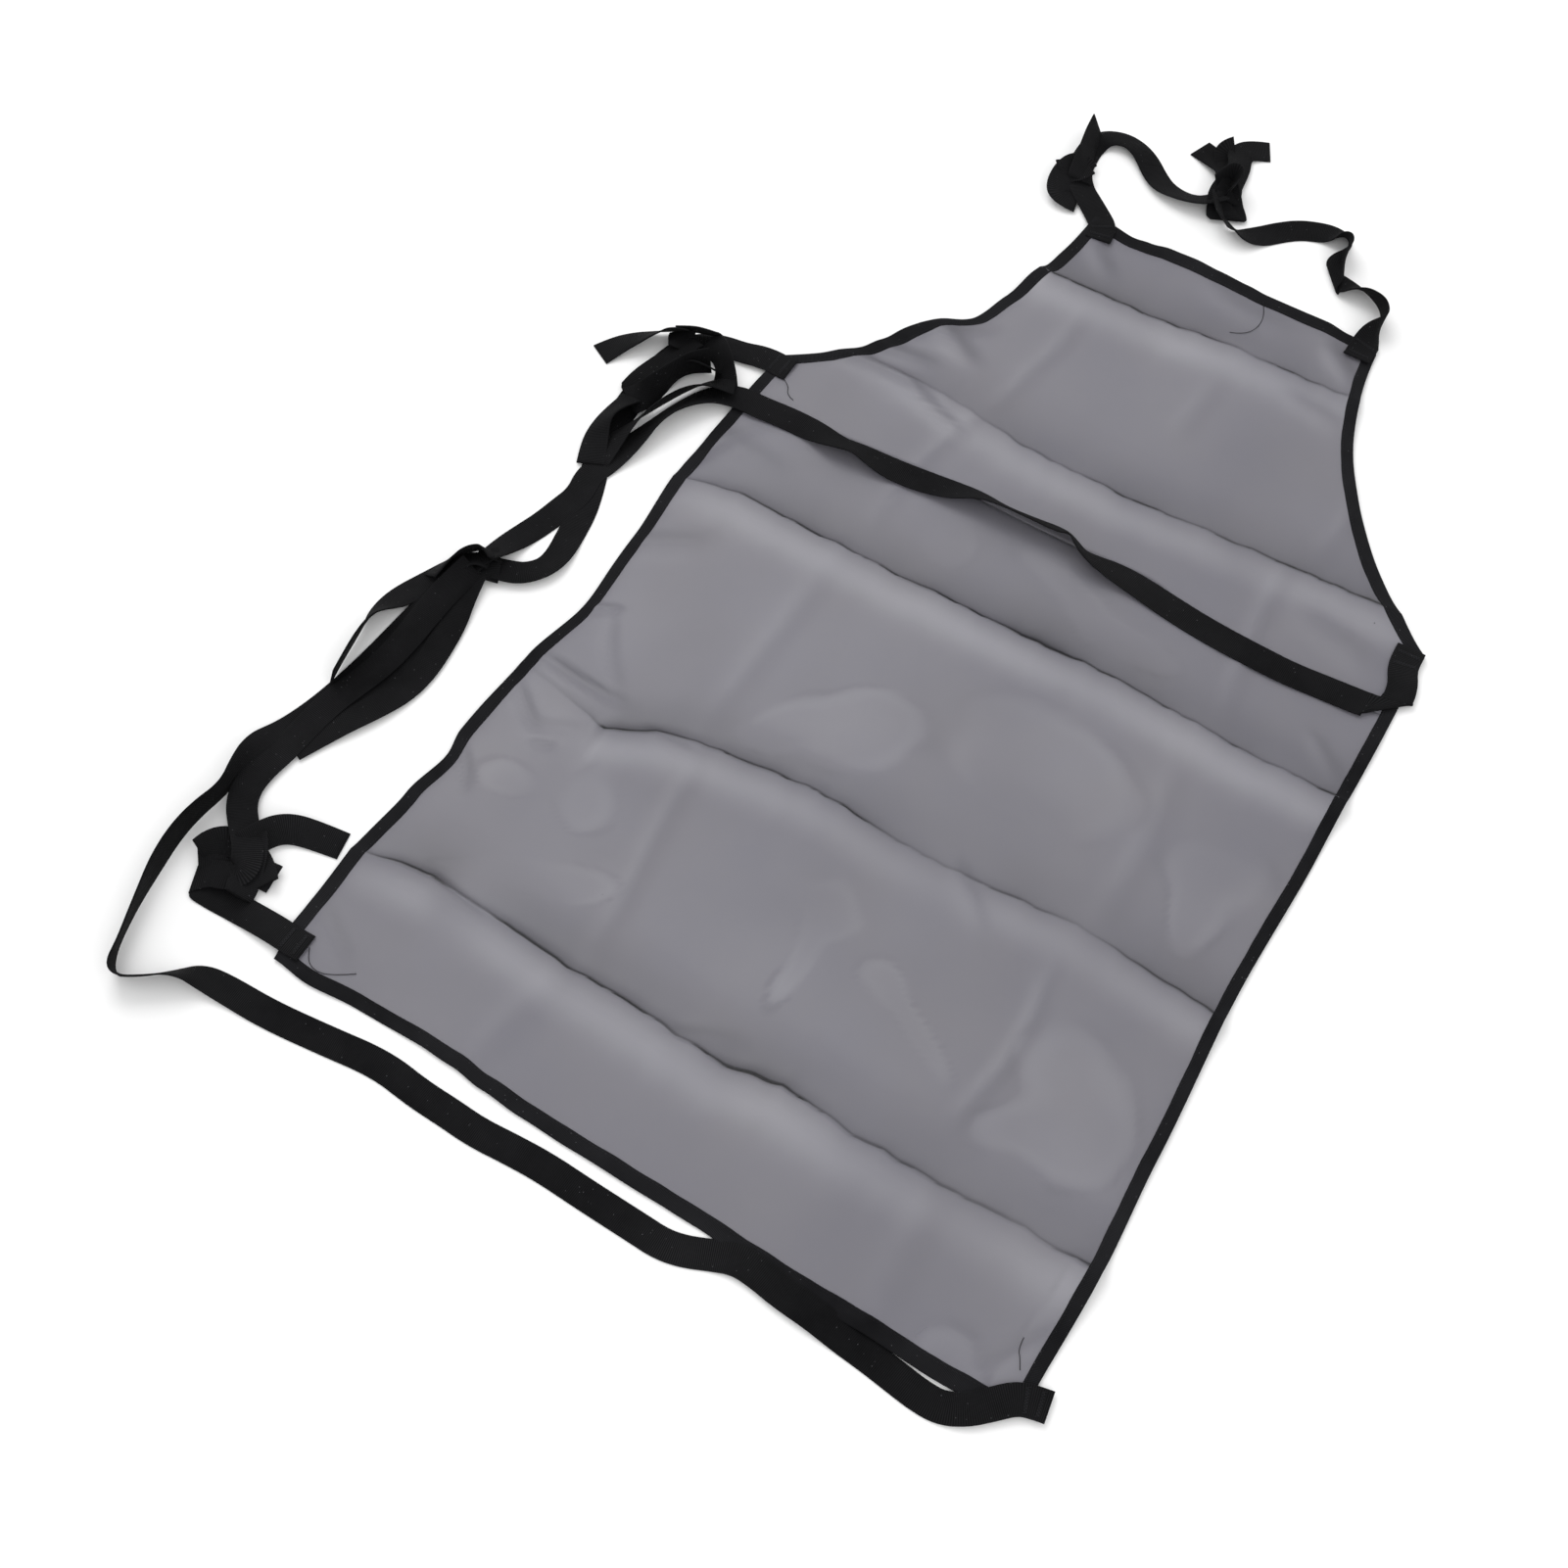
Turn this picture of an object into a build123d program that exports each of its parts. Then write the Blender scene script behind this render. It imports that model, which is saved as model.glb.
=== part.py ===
from build123d import *
from math import tan, radians
import os

# A bib apron laid flat: a thin tinted plastic film with a folded fabric binding on every edge and
# six webbing ties.
# Sizes are millimetres.  X runs across the apron, Y from the hem to the bib, Z up from the surface
# it lies on.  The origin is under the middle of the apron, on that surface.

# ---- driving dimensions -------------------------------------------------------------------------
LENGTH = 1000.0            # hem to the bib's top edge
HEM_HALF = 335.0           # half of the width at the hem
WAIST_HALF = 314.0         # half of the width at the waist corners
WAIST = 716.0              # hem to the waist corners
BIB_HALF = 145.0           # half of the width of the bib's top edge
ARMHOLE = (205.0, 822.0)   # a point on the armhole's curve: half width there, distance from the hem

SKIRT_CREASE = 555.0       # hem to the packing crease that the skirt folds on
BIB_CREASE = 738.0         # hem to the packing crease that the bib folds on
CREASE_GAP = 0.3           # between the two panels at a crease

FILM = 0.4                 # film thickness
BINDING = 1.6              # thickness of the folded binding, film included
BINDING_WIDTH = 11.0       # how far the binding covers the film
BINDING_FOLD = 1.0         # from the binding's fold to the film's own edge

TIE_WIDTH = 25.0
TIE = 1.6                  # webbing thickness
LAYER = TIE + 0.3          # from one crossing tie to the next
SEWN_LENGTH = 22.0         # how much of a tie is sewn to the apron

THREAD = 0.5               # width of a row of stitches
THREAD_HEIGHT = 0.3
TACK = (19.0, 2.0, 0.5)    # one bar tack: length, width, height
TACK_SPACING = 14.0        # between the two tacks on one sewn end

FILM_Z = (BINDING - FILM) / 2
OVER_BINDING = BINDING + 0.3   # a free tie that crosses the apron clears the binding by this much

os.makedirs("parts", exist_ok=True)


def at(x, height):
    """The point at x across and height above the hem, with the origin at the apron's middle."""
    return (x, height - LENGTH / 2)


def save(name, shape, colour):
    shape.label, shape.color = name, Color(*colour)
    export_step(shape, f"parts/{name}.step")


FILM_COLOUR = (0.45, 0.45, 0.48)
TAPE_COLOUR = (0.05, 0.05, 0.055)
TIE_COLOUR = (0.03, 0.03, 0.03)
THREAD_COLOUR = (0.10, 0.10, 0.11)


# ---- the apron's outline ------------------------------------------------------------------------
def apron_outline():
    """The closed outline: straight hem, sides and bib top, and one arc for each armhole."""
    def corner(side, half, height):
        return at(side * half, height)

    edges = [
        Edge.make_line(corner(-1, HEM_HALF, 0), corner(1, HEM_HALF, 0)),
        Edge.make_line(corner(-1, BIB_HALF, LENGTH), corner(1, BIB_HALF, LENGTH)),
    ]
    for side in (-1, 1):
        waist = corner(side, WAIST_HALF, WAIST)
        edges.append(Edge.make_line(corner(side, HEM_HALF, 0), waist))
        edges.append(
            Edge.make_three_point_arc(waist, corner(side, *ARMHOLE), corner(side, BIB_HALF, LENGTH))
        )
    return Face(Wire(edges))


def inset(face, amount):
    return offset(face, -amount, kind=Kind.INTERSECTION)


def slab(face, low, thick):
    return extrude(Pos(0, 0, low) * face, thick, dir=(0, 0, 1))


outline = apron_outline()
film_outline = inset(outline, BINDING_FOLD)
inner_outline = inset(outline, BINDING_WIDTH)

film = slab(film_outline, FILM_Z, FILM)
binding = slab(outline, 0, BINDING) - slab(inner_outline, 0, BINDING) - film


def band(low, high, side=0):
    """A block that holds everything between two heights above the hem; side picks left or right."""
    reach = 2 * HEM_HALF
    middle = at(side * reach / 2, (low + high) / 2)
    width = reach if side else 2 * reach
    return Pos(*middle, 0) * Box(width, high - low, 10 * BINDING)


def cut(shape, low, high, side=0):
    return shape & band(low, high, side)


# Where one body ends and the next begins, each side of a crease.
HALF_GAP = CREASE_GAP / 2
SKIRT = (0.0, SKIRT_CREASE - HALF_GAP)
WAIST_PANEL = (SKIRT_CREASE + HALF_GAP, BIB_CREASE - HALF_GAP)
BIB = (BIB_CREASE + HALF_GAP, LENGTH)

# ---- film ---------------------------------------------------------------------------------------
for name, span in (("film_skirt", SKIRT), ("film_waist", WAIST_PANEL), ("film_bib", BIB)):
    save(name, cut(film, *span), FILM_COLOUR)

# ---- binding ------------------------------------------------------------------------------------
save("hem_binding", cut(binding, 0, BINDING_WIDTH), TAPE_COLOUR)
save("bib_binding", cut(binding, LENGTH - BINDING_WIDTH, LENGTH), TAPE_COLOUR)
SIDES = (("left", -1), ("right", 1))
for side_name, side in SIDES:
    lengths = (
        ("skirt_side_binding", BINDING_WIDTH, SKIRT[1]),
        ("waist_side_binding", WAIST_PANEL[0], WAIST),
        ("armhole_end_binding", WAIST, WAIST_PANEL[1]),
        ("armhole_binding", BIB[0], LENGTH - BINDING_WIDTH),
    )
    for name, low, high in lengths:
        save(f"{name}_{side_name}", cut(binding, low, high, side), TAPE_COLOUR)

# ---- the row of stitches that closes the binding ------------------------------------------------
seam_outer = inset(outline, BINDING_WIDTH * 0.8)
seam_inner = inset(outline, BINDING_WIDTH * 0.8 + THREAD)
seam = slab(seam_outer, BINDING, THREAD_HEIGHT) - slab(seam_inner, BINDING, THREAD_HEIGHT)

# ---- sewn ends of the ties, each held by two bar tacks ------------------------------------------
# middle of each sewn end: half width, distance from the hem, and whether its length runs along X
SEWN_ENDS = {
    "neck": (132.0, 988.0, False),
    "waist": (302.0, 703.5, True),
    "hem": (323.0, 12.5, True),
}
for place, (half, height, across) in SEWN_ENDS.items():
    turn = 0 if across else 90
    tacks = []
    for side_name, side in SIDES:
        spot = Pos(*at(side * half, height), BINDING) * Rot(0, 0, turn)
        patch = spot * Pos(0, 0, TIE / 2) * Box(SEWN_LENGTH, TIE_WIDTH, TIE)
        save(f"{place}_tie_end_{side_name}", patch, TIE_COLOUR)
        seam -= patch
        for shift in (-TACK_SPACING / 2, TACK_SPACING / 2):
            raised = Pos(shift, 0, TIE + TACK[2] / 2)
            tacks.append(spot * raised * Rot(0, 0, 90) * Box(*TACK))
    save(f"{place}_bar_tacks", Compound(tacks), THREAD_COLOUR)

# The stitches stop where a sewn end covers them.
for name, span in (("skirt_seam", SKIRT), ("waist_seam", WAIST_PANEL), ("bib_seam", BIB)):
    save(name, cut(seam, *span), THREAD_COLOUR)


# ---- free ties ----------------------------------------------------------------------------------
def route_radii(points):
    """One radius for each corner, as large as its two runs allow."""
    radii = []
    for before, here, after in zip(points, points[1:], points[2:]):
        arrive = Vector(*here) - Vector(*before)
        leave = Vector(*after) - Vector(*here)
        half_turn = radians(arrive.get_angle(leave)) / 2
        radii.append(0.45 * min(arrive.length, leave.length) / tan(half_turn))
    return radii


def ribbon(route, low, name):
    """A tie lying flat on its route, given as points across and above the hem."""
    points = [at(*point) for point in route]
    radii = route_radii(points)
    path = FilletPolyline(*points, radius=radii)
    solid = slab(trace(path, TIE_WIDTH).face(), low, TIE)
    print(f"{name}: length {path.length:.0f}, radii", [round(radius) for radius in radii],
          f"volume ratio {solid.volume / (path.length * TIE_WIDTH * TIE):.3f}")
    return solid


NECK_LEFT = [(-150, 1004), (-172, 1030), (-190, 1062), (-193, 1098), (-178, 1124), (-150, 1124),
             (-128, 1102), (-100, 1088), (-72, 1088)]
NECK_RIGHT = [(134, 1004), (134, 1034), (112, 1052), (82, 1062), (72, 1094), (42, 1112),
              (6, 1096), (-18, 1066), (-50, 1078)]
WAIST_LEFT = [(-316, 706), (-345, 712), (-372, 704), (-387, 678), (-386, 645), (-380, 600),
              (-373, 555), (-368, 515), (-360, 474), (-358, 436), (-374, 406), (-404, 396)]
WAIST_RIGHT = [(312, 683), (320, 666), (310, 648), (280, 645), (213, 638), (140, 652), (77, 668),
               (-1, 665), (-60, 672), (-123, 668), (-198, 661), (-250, 665), (-300, 662),
               (-335, 648), (-360, 622), (-377, 590), (-388, 556), (-396, 522), (-390, 488),
               (-400, 455), (-420, 424), (-420, 394)]
HEM_LEFT = [(-336, 13), (-374, 13), (-410, 24), (-436, 48), (-450, 84), (-450, 125), (-444, 170),
            (-434, 235), (-426, 295), (-420, 345), (-416, 375)]
HEM_RIGHT = [(318, -12), (296, -36), (262, -50), (222, -46), (180, -38), (104, -27), (66, -38),
             (28, -52), (-20, -48), (-75, -33), (-125, -47), (-215, -38), (-262, -48), (-311, -50),
             (-350, -47), (-385, -60), (-418, -72), (-446, -60), (-458, -28), (-464, 6),
             (-465, 48), (-461, 93), (-463, 140), (-452, 175), (-440, 215), (-434, 255),
             (-428, 300), (-420, 345), (-416, 375)]

FREE_TIES = {
    "neck_tie_left": (NECK_LEFT, OVER_BINDING),
    "neck_tie_right": (NECK_RIGHT, OVER_BINDING),
    "waist_tie_left": (WAIST_LEFT, OVER_BINDING + LAYER),
    "waist_tie_right": (WAIST_RIGHT, OVER_BINDING),
    "hem_tie_left": (HEM_LEFT, OVER_BINDING),
    "hem_tie_right": (HEM_RIGHT, 0.0),
}
for name, (route, low) in FREE_TIES.items():
    save(name, ribbon(route, low, name), TIE_COLOUR)


# ---- knots and bows: the closed outer shape of the folded webbing -------------------------------
def arm(start, end, width, low, thick):
    """A flat arm of folded webbing between two points across and above the hem."""
    line = Edge.make_line(at(*start), at(*end))
    return slab(trace(line, width).face(), low, thick)


def lump(centre, size, low, thick):
    """The tied middle of a knot: a rounded block."""
    block = Pos(*at(*centre), low + thick / 2) * Box(*size, thick)
    return fillet(block.edges().filter_by(Axis.Z), min(size) * 0.3)


neck_knot = lump((-188, 1056), (40, 44), 0, 18) + arm((-190, 1060), (-206, 1128), 20, 0, 8)
save("neck_knot", neck_knot, TIE_COLOUR)

bow_arms = [((-108, 1142), 30), ((-46, 1180), 30), ((-34, 1068), 30)]
neck_bow = lump((-66, 1108), (44, 54), 0, 24)
for end, width in bow_arms:
    neck_bow += arm((-66, 1108), end, width, 0, 14)
save("neck_bow", neck_bow, TIE_COLOUR)

KNOT_TOP = 18.0
waist_knot = lump((-388, 692), (44, 36), 0, KNOT_TOP)
waist_knot += arm((-388, 692), (-456, 650), 20, OVER_BINDING + 2 * LAYER, 2 * TIE)
save("waist_knot", waist_knot, TIE_COLOUR)

loop_low = OVER_BINDING + 2 * LAYER
waist_bow = arm((-398, 680), (-426, 596), 34, loop_low, 12)
waist_bow += arm((-426, 610), (-396, 540), 30, loop_low, 12)
waist_bow += arm((-372, 684), (-396, 590), 26, loop_low, 12)
save("waist_bow", waist_bow, TIE_COLOUR)

hem_knot = lump((-410, 42), (54, 58), 0, 24) + arm((-404, 62), (-386, 100), 20, 0, 4)
hem_knot += arm((-390, 94), (-350, 110), 20, 0, 4)
save("hem_knot", hem_knot, TIE_COLOUR)

bow_low = OVER_BINDING + LAYER
hem_bow = arm((-420, 366), (-462, 318), 24, bow_low, 10)
hem_bow += arm((-462, 328), (-450, 226), 20, bow_low, 10)
hem_bow += arm((-408, 366), (-386, 288), 24, bow_low, 10)
hem_bow += arm((-386, 296), (-432, 158), 24, bow_low, 10)
save("hem_bow", hem_bow, TIE_COLOUR)

bundle_knot = lump((-418, 368), (40, 28), 0, 22)
save("bundle_knot", bundle_knot, TIE_COLOUR)
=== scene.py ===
# %% [markdown]
# # A tinted film bib apron, laid flat
# The apron is one thin sheet of smoke-tinted plastic film with a folded fabric binding sewn round
# its edge, and six webbing ties knotted at the neck and down the left side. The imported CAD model
# gives the true size and place of every piece; this script gives each one its real surface.

# %% Load the frame
import bpy
import bmesh
import math
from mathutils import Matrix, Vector, noise


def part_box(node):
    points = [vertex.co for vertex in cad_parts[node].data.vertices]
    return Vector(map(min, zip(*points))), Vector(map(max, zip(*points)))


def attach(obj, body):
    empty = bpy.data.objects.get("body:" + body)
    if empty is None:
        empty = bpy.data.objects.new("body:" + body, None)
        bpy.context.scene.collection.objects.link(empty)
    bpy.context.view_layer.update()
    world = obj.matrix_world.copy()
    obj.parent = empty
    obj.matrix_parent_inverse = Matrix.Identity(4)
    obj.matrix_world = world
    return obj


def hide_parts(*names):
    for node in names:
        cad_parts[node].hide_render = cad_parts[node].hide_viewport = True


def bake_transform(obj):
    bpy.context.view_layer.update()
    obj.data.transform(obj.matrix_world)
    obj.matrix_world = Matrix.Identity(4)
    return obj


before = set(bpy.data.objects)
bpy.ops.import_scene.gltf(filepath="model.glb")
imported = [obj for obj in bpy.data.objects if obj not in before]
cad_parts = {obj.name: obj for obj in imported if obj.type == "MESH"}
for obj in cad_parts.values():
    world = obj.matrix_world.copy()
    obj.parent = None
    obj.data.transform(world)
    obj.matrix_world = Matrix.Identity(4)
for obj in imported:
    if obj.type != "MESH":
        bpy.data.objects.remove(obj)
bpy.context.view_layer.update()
SKIRT, WAIST, BIB = "skirt_panel", "waist_panel", "bib_panel"
NECK_LOOP, WAIST_TIES = "neck_loop", "waist_ties"

# %% Sizes read from the frame
film_low, film_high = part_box("film_skirt")
hem_low, hem_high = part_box("hem_binding")
bib_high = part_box("bib_binding")[1]
HEM_Y = hem_low[1]                              # the hem's outer edge
LENGTH = bib_high[1] - HEM_Y
HEM_HALF = hem_high[0]
BIB_HALF = bib_high[0]
BINDING_WIDTH = hem_high[1] - hem_low[1]
BINDING = hem_high[2] - hem_low[2]              # the binding's thickness
FILM = film_high[2] - film_low[2]
TIE_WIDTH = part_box("neck_tie_end_left")[1][0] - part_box("neck_tie_end_left")[0][0]
TIE = 0.0015                                    # webbing thickness
WAIST_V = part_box("waist_side_binding_right")[1][1] - HEM_Y
WAIST_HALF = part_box("armhole_end_binding_right")[1][0]
SKIRT_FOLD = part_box("film_skirt")[1][1] - HEM_Y
print(f"apron {2 * HEM_HALF:.3f} by {LENGTH:.3f} m, tie {TIE_WIDTH:.3f} m wide")

# %% [markdown]
# ## Camera, lights and floor
# The apron is seen from above, a little from its left, through a slightly long lens. The floor is
# pale and the light soft and even, so the tint of the film reads as it does on a light table.

# %% Camera
CAMERA_AT = (0.4527, -1.0421, 1.7303)
LOOK_DOWN, LOOK_ACROSS = math.radians(59.34), math.radians(31.24)
camera = bpy.data.objects.new("camera", bpy.data.cameras.new("camera"))
camera.location = CAMERA_AT
camera.rotation_euler = (math.pi / 2 - LOOK_DOWN, 0.0, LOOK_ACROSS)
camera.data.sensor_width = 36.0
camera.data.lens = 57.08
bpy.context.collection.objects.link(camera)
bpy.context.scene.camera = camera


# %% Floor and lights
def material(name):
    """A new node material: its node tree, its shader and itself."""
    made = bpy.data.materials.new(name)
    made.use_nodes = True
    return made.node_tree, made.node_tree.nodes["Principled BSDF"], made


def mesh_piece(name, points, faces, finish=None, smooth=True):
    """A mesh object with its place in its mesh."""
    mesh = bpy.data.meshes.new(name)
    mesh.from_pydata([tuple(point) for point in points], [], faces)
    mesh.validate()
    if smooth:
        mesh.shade_smooth()
    piece = bpy.data.objects.new(name, mesh)
    bpy.context.collection.objects.link(piece)
    if finish:
        mesh.materials.append(finish)
    return piece


def tube_faces(rings, sides, base=0):
    """Faces of a closed tube made of rings of points, one after another."""
    faces = []
    for ring in range(rings - 1):
        for j in range(sides):
            a, b = base + ring * sides + j, base + ring * sides + (j + 1) % sides
            faces.append((a, b, b + sides, a + sides))
    faces.append(tuple(base + j for j in range(sides))[::-1])
    faces.append(tuple(base + (rings - 1) * sides + j for j in range(sides)))
    return faces


def pattern_places(piece, marks):
    """Gives each corner of a mesh the pattern coordinates of its point."""
    uv = piece.data.uv_layers.new(name="UVMap")
    for loop in piece.data.loops:
        uv.data[loop.index].uv = marks[loop.vertex_index]


FLOOR_REACH = 6.0
_, floor_shader, floor_finish = material("pale_floor")
floor_shader.inputs["Base Color"].default_value = (0.93, 0.93, 0.93, 1)
floor_shader.inputs["Roughness"].default_value = 0.9
corners = [(-FLOOR_REACH, -FLOOR_REACH, 0), (FLOOR_REACH, -FLOOR_REACH, 0),
           (FLOOR_REACH, FLOOR_REACH, 0), (-FLOOR_REACH, FLOOR_REACH, 0)]
mesh_piece("floor", corners, [(0, 1, 2, 3)], floor_finish, smooth=False)

world = bpy.data.worlds.new("studio")
world.use_nodes = True
world.node_tree.nodes["Background"].inputs["Color"].default_value = (1, 1, 1, 1)
world.node_tree.nodes["Background"].inputs["Strength"].default_value = 0.86
bpy.context.scene.world = world
bpy.context.scene.view_settings.view_transform = "Standard"


def soft_light(name, place, size, power):
    """A square area light aimed at the middle of the apron."""
    lamp = bpy.data.objects.new(name, bpy.data.lights.new(name, "AREA"))
    lamp.data.size, lamp.data.energy = size, power
    lamp.location = place
    lamp.rotation_euler = (-Vector(place)).to_track_quat("-Z", "Y").to_euler()
    bpy.context.collection.objects.link(lamp)


soft_light("key", (-1.6, 1.2, 2.4), 1.9, 34)
soft_light("fill", (1.8, -1.4, 2.2), 2.6, 22)

# %% [markdown]
# ## How the sheet lies
# A packed film keeps its folds: ridges straight across it, fainter ones along it, and short buckles
# near its edge. One height function describes them all, and the film, its binding and its stitches
# all read it, so that they stay together. Distances are measured across (x) and from the hem (v).

# %% Outline
ARMHOLE = Vector((0.205, 0.822))                # a point on the armhole's curve


def circle_through(a, b, c):
    """Centre of the circle through three flat points."""
    first, second = b - a, c - a
    cross = 2 * (first.x * second.y - first.y * second.x)
    u = (second.y * first.length_squared - first.y * second.length_squared) / cross
    w = (first.x * second.length_squared - second.x * first.length_squared) / cross
    return a + Vector((u, w))


waist_corner, bib_corner = Vector((WAIST_HALF, WAIST_V)), Vector((BIB_HALF, LENGTH))
ARM_CENTRE = circle_through(waist_corner, ARMHOLE, bib_corner)
ARM_RADIUS = (waist_corner - ARM_CENTRE).length


def half_width(v):
    """Half of the apron's width at v from the hem."""
    if v <= WAIST_V:
        return HEM_HALF + (WAIST_HALF - HEM_HALF) * v / WAIST_V
    return ARM_CENTRE.x - math.sqrt(ARM_RADIUS**2 - (min(v, LENGTH) - ARM_CENTRE.y) ** 2)


def along(table, at):
    """Smooth value at a place, between listed (place, value) pairs."""
    if at <= table[0][0]:
        return table[0][1]
    for (low, first), (high, second) in zip(table, table[1:]):
        if at <= high:
            t = (at - low) / (high - low)
            return first + (second - first) * t * t * (3 - 2 * t)
    return table[-1][1]


def straight(table, at):
    """Straight-line value at a place, between listed (place, value) pairs."""
    for (low, first), (high, second) in zip(table, table[1:]):
        if at <= high or high == table[-1][0]:
            return first + (second - first) * min(1.0, max(0.0, (at - low) / (high - low)))


def bell(distance, width):
    return math.exp(-((distance / width) ** 2))


print("armhole radius", round(ARM_RADIUS, 3))

# %% Creases across the sheet
# Each crease: where it runs (x, v), and how high it stands along x.
CREASES = [
    ([(-0.34, 0.104), (-0.28, 0.115), (-0.21, 0.112), (-0.14, 0.105), (-0.07, 0.105), (0.012, 0.098),
      (0.059, 0.107), (0.123, 0.101), (0.25, 0.104), (0.33, 0.102)],
     [(-0.33, 0.004), (-0.27, 0.008), (-0.24, 0.003), (-0.18, 0.0085), (0.0, 0.007), (0.06, 0.008),
      (0.16, 0.005), (0.22, 0.0035), (0.33, 0.0065)]),
    ([(-0.33, 0.322), (-0.27, 0.312), (-0.227, 0.300), (-0.19, 0.319), (-0.157, 0.328), (-0.05, 0.340),
      (0.013, 0.333), (0.1, 0.335), (0.186, 0.341), (0.316, 0.327)],
     [(-0.33, 0.001), (-0.24, 0.002), (-0.222, 0.0085), (-0.1, 0.007), (0.0, 0.005), (0.08, 0.0025),
      (0.14, 0.005), (0.2, 0.004), (0.32, 0.0065)]),
    ([(-0.33, 0.549), (-0.258, 0.562), (-0.166, 0.557), (0.026, 0.556), (0.097, 0.560), (0.163, 0.555),
      (0.237, 0.550), (0.32, 0.551)],
     [(-0.32, 0.003), (-0.25, 0.0075), (-0.1, 0.008), (0.03, 0.009), (0.1, 0.007), (0.2, 0.008),
      (0.32, 0.0075)]),
    ([(-0.29, 0.758), (-0.231, 0.752), (-0.169, 0.750), (-0.136, 0.745), (-0.082, 0.735), (0.027, 0.730),
      (0.086, 0.735), (0.209, 0.740), (0.29, 0.741)],
     [(-0.26, 0.001), (-0.15, 0.005), (0.0, 0.007), (0.1, 0.006), (0.15, 0.004), (0.2, 0.0055),
      (0.29, 0.0065)]),
    ([(-0.15, 0.922), (-0.024, 0.926), (0.033, 0.931), (0.16, 0.934)],
     [(-0.15, 0.0075), (-0.05, 0.006), (0.0, 0.008), (0.07, 0.006), (0.12, 0.0035), (0.16, 0.004)]),
]
STEEP, GENTLE = 0.0065, 0.026                   # how fast a ridge falls on the bib and hem side


def crease_line(line, x):
    """Where a crease runs at x, with the small jogs that a hand fold leaves."""
    jog = 0.0017 * noise.noise(Vector((x * 60, line[0][1] * 9, 0.5)))
    return straight(line, x) + jog + 0.0012 * noise.noise(Vector((x * 17, line[0][1] * 9, 2.5)))


def crease_height(x, v):
    total = 0.0
    for line, tall in CREASES:
        away = v - crease_line(line, x)
        if abs(away) < 0.12:
            fall = STEEP if away > 0 else GENTLE
            total += along(tall, x) * math.exp(-math.sqrt(away**2 + 0.0012**2) / fall)
    return total


def crease_painted_shade_and_light(x, v):
    """Painted shade just above each ridge, where the film turns away, and painted light along its gentle side.
    """
    shade = 0.0
    for line, tall in CREASES:
        away = v - crease_line(line, x)
        if abs(away) < 0.12:
            patchy = 0.8 + 1.1 * noise.noise(Vector((x * 13, line[0][1] * 7, 4.0)))
            strength = along(tall, x) / 0.008
            if away > 0:
                shade += strength * patchy * 0.66 * math.exp(-away / 0.010)
            shade += strength * max(0.1, patchy) * 0.95 * bell(away - 0.0006, 0.0017)
            shade += strength * 0.15 * bell(away - 0.022, 0.022)
            shade -= strength * 0.26 * bell(away + 0.018, 0.017)
    return shade


# %% Creases along the sheet, and buckles
# Each stroke: start (x, v), end (x, v), height and half width of its bump.
STROKES = [
    ((-0.105, 0.900), (-0.124, 0.759), 0.0012, 0.008),
    ((-0.124, 0.765), (-0.150, 0.590), 0.0012, 0.008),
    ((-0.160, 0.545), (-0.166, 0.345), 0.0011, 0.010),
    ((-0.153, 0.312), (-0.128, 0.125), 0.0013, 0.008),
    ((-0.140, 0.100), (-0.160, 0.000), 0.0010, 0.012), ((0.032, 0.900), (0.027, 0.815), 0.0008, 0.009),
    ((0.173, 0.745), (0.193, 0.580), 0.0013, 0.007), ((0.178, 0.520), (0.192, 0.340), 0.0011, 0.010),
    ((0.183, 0.300), (0.179, 0.150), 0.0017, 0.006), ((0.190, 0.100), (0.202, 0.000), 0.0010, 0.012),
    ((0.184, 0.895), (0.192, 0.760), 0.0012, 0.008), ((-0.285, 0.744), (-0.185, 0.746), 0.0034, 0.007),
    ((-0.205, 0.748), (-0.130, 0.718), 0.0030, 0.006),
    ((-0.318, 0.336), (-0.228, 0.330), 0.0036, 0.006),
    ((-0.320, 0.393), (-0.290, 0.408), 0.0030, 0.004),
    ((-0.296, 0.400), (-0.238, 0.336), 0.0015, 0.006),
    ((-0.276, 0.258), (-0.256, 0.267), 0.0020, 0.004),
    ((-0.322, 0.230), (-0.294, 0.194), 0.0024, 0.005),
    ((-0.318, 0.303), (-0.278, 0.272), 0.0024, 0.006),
    ((-0.290, 0.272), (-0.245, 0.292), 0.0014, 0.007),
    ((-0.318, 0.560), (-0.300, 0.613), 0.0024, 0.006),
    ((-0.303, 0.605), (-0.280, 0.645), 0.0014, 0.007),
    ((-0.215, 0.838), (-0.155, 0.795), 0.0034, 0.009),
    ((-0.256, 0.770), (-0.190, 0.777), 0.0030, 0.008), ((0.262, 0.600), (0.305, 0.568), 0.0016, 0.007),
    ((-0.330, 0.465), (-0.260, 0.505), 0.0022, 0.011),
    ((-0.330, 0.056), (-0.280, 0.026), 0.0020, 0.008),
    ((-0.145, 0.992), (-0.100, 0.950), 0.0020, 0.009), ((0.285, 0.012), (0.322, 0.052), 0.0018, 0.008),
    ((0.100, 0.982), (0.146, 0.950), 0.0034, 0.010), ((0.156, 0.898), (0.090, 0.908), 0.0014, 0.009),
    ((-0.030, 0.988), (0.070, 0.976), 0.0016, 0.009), ((-0.050, 0.092), (0.015, 0.122), 0.0016, 0.008),
    ((-0.205, 0.320), (-0.150, 0.316), 0.0022, 0.005),
    ((-0.270, 0.118), (-0.215, 0.108), 0.0028, 0.004),
    ((-0.320, 0.610), (-0.240, 0.600), 0.0016, 0.013), ((0.200, 0.700), (0.285, 0.680), 0.0014, 0.012),
    ((-0.235, 0.790), (-0.165, 0.835), 0.0026, 0.010), ((0.070, 0.345), (0.125, 0.300), 0.0012, 0.008)]


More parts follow.
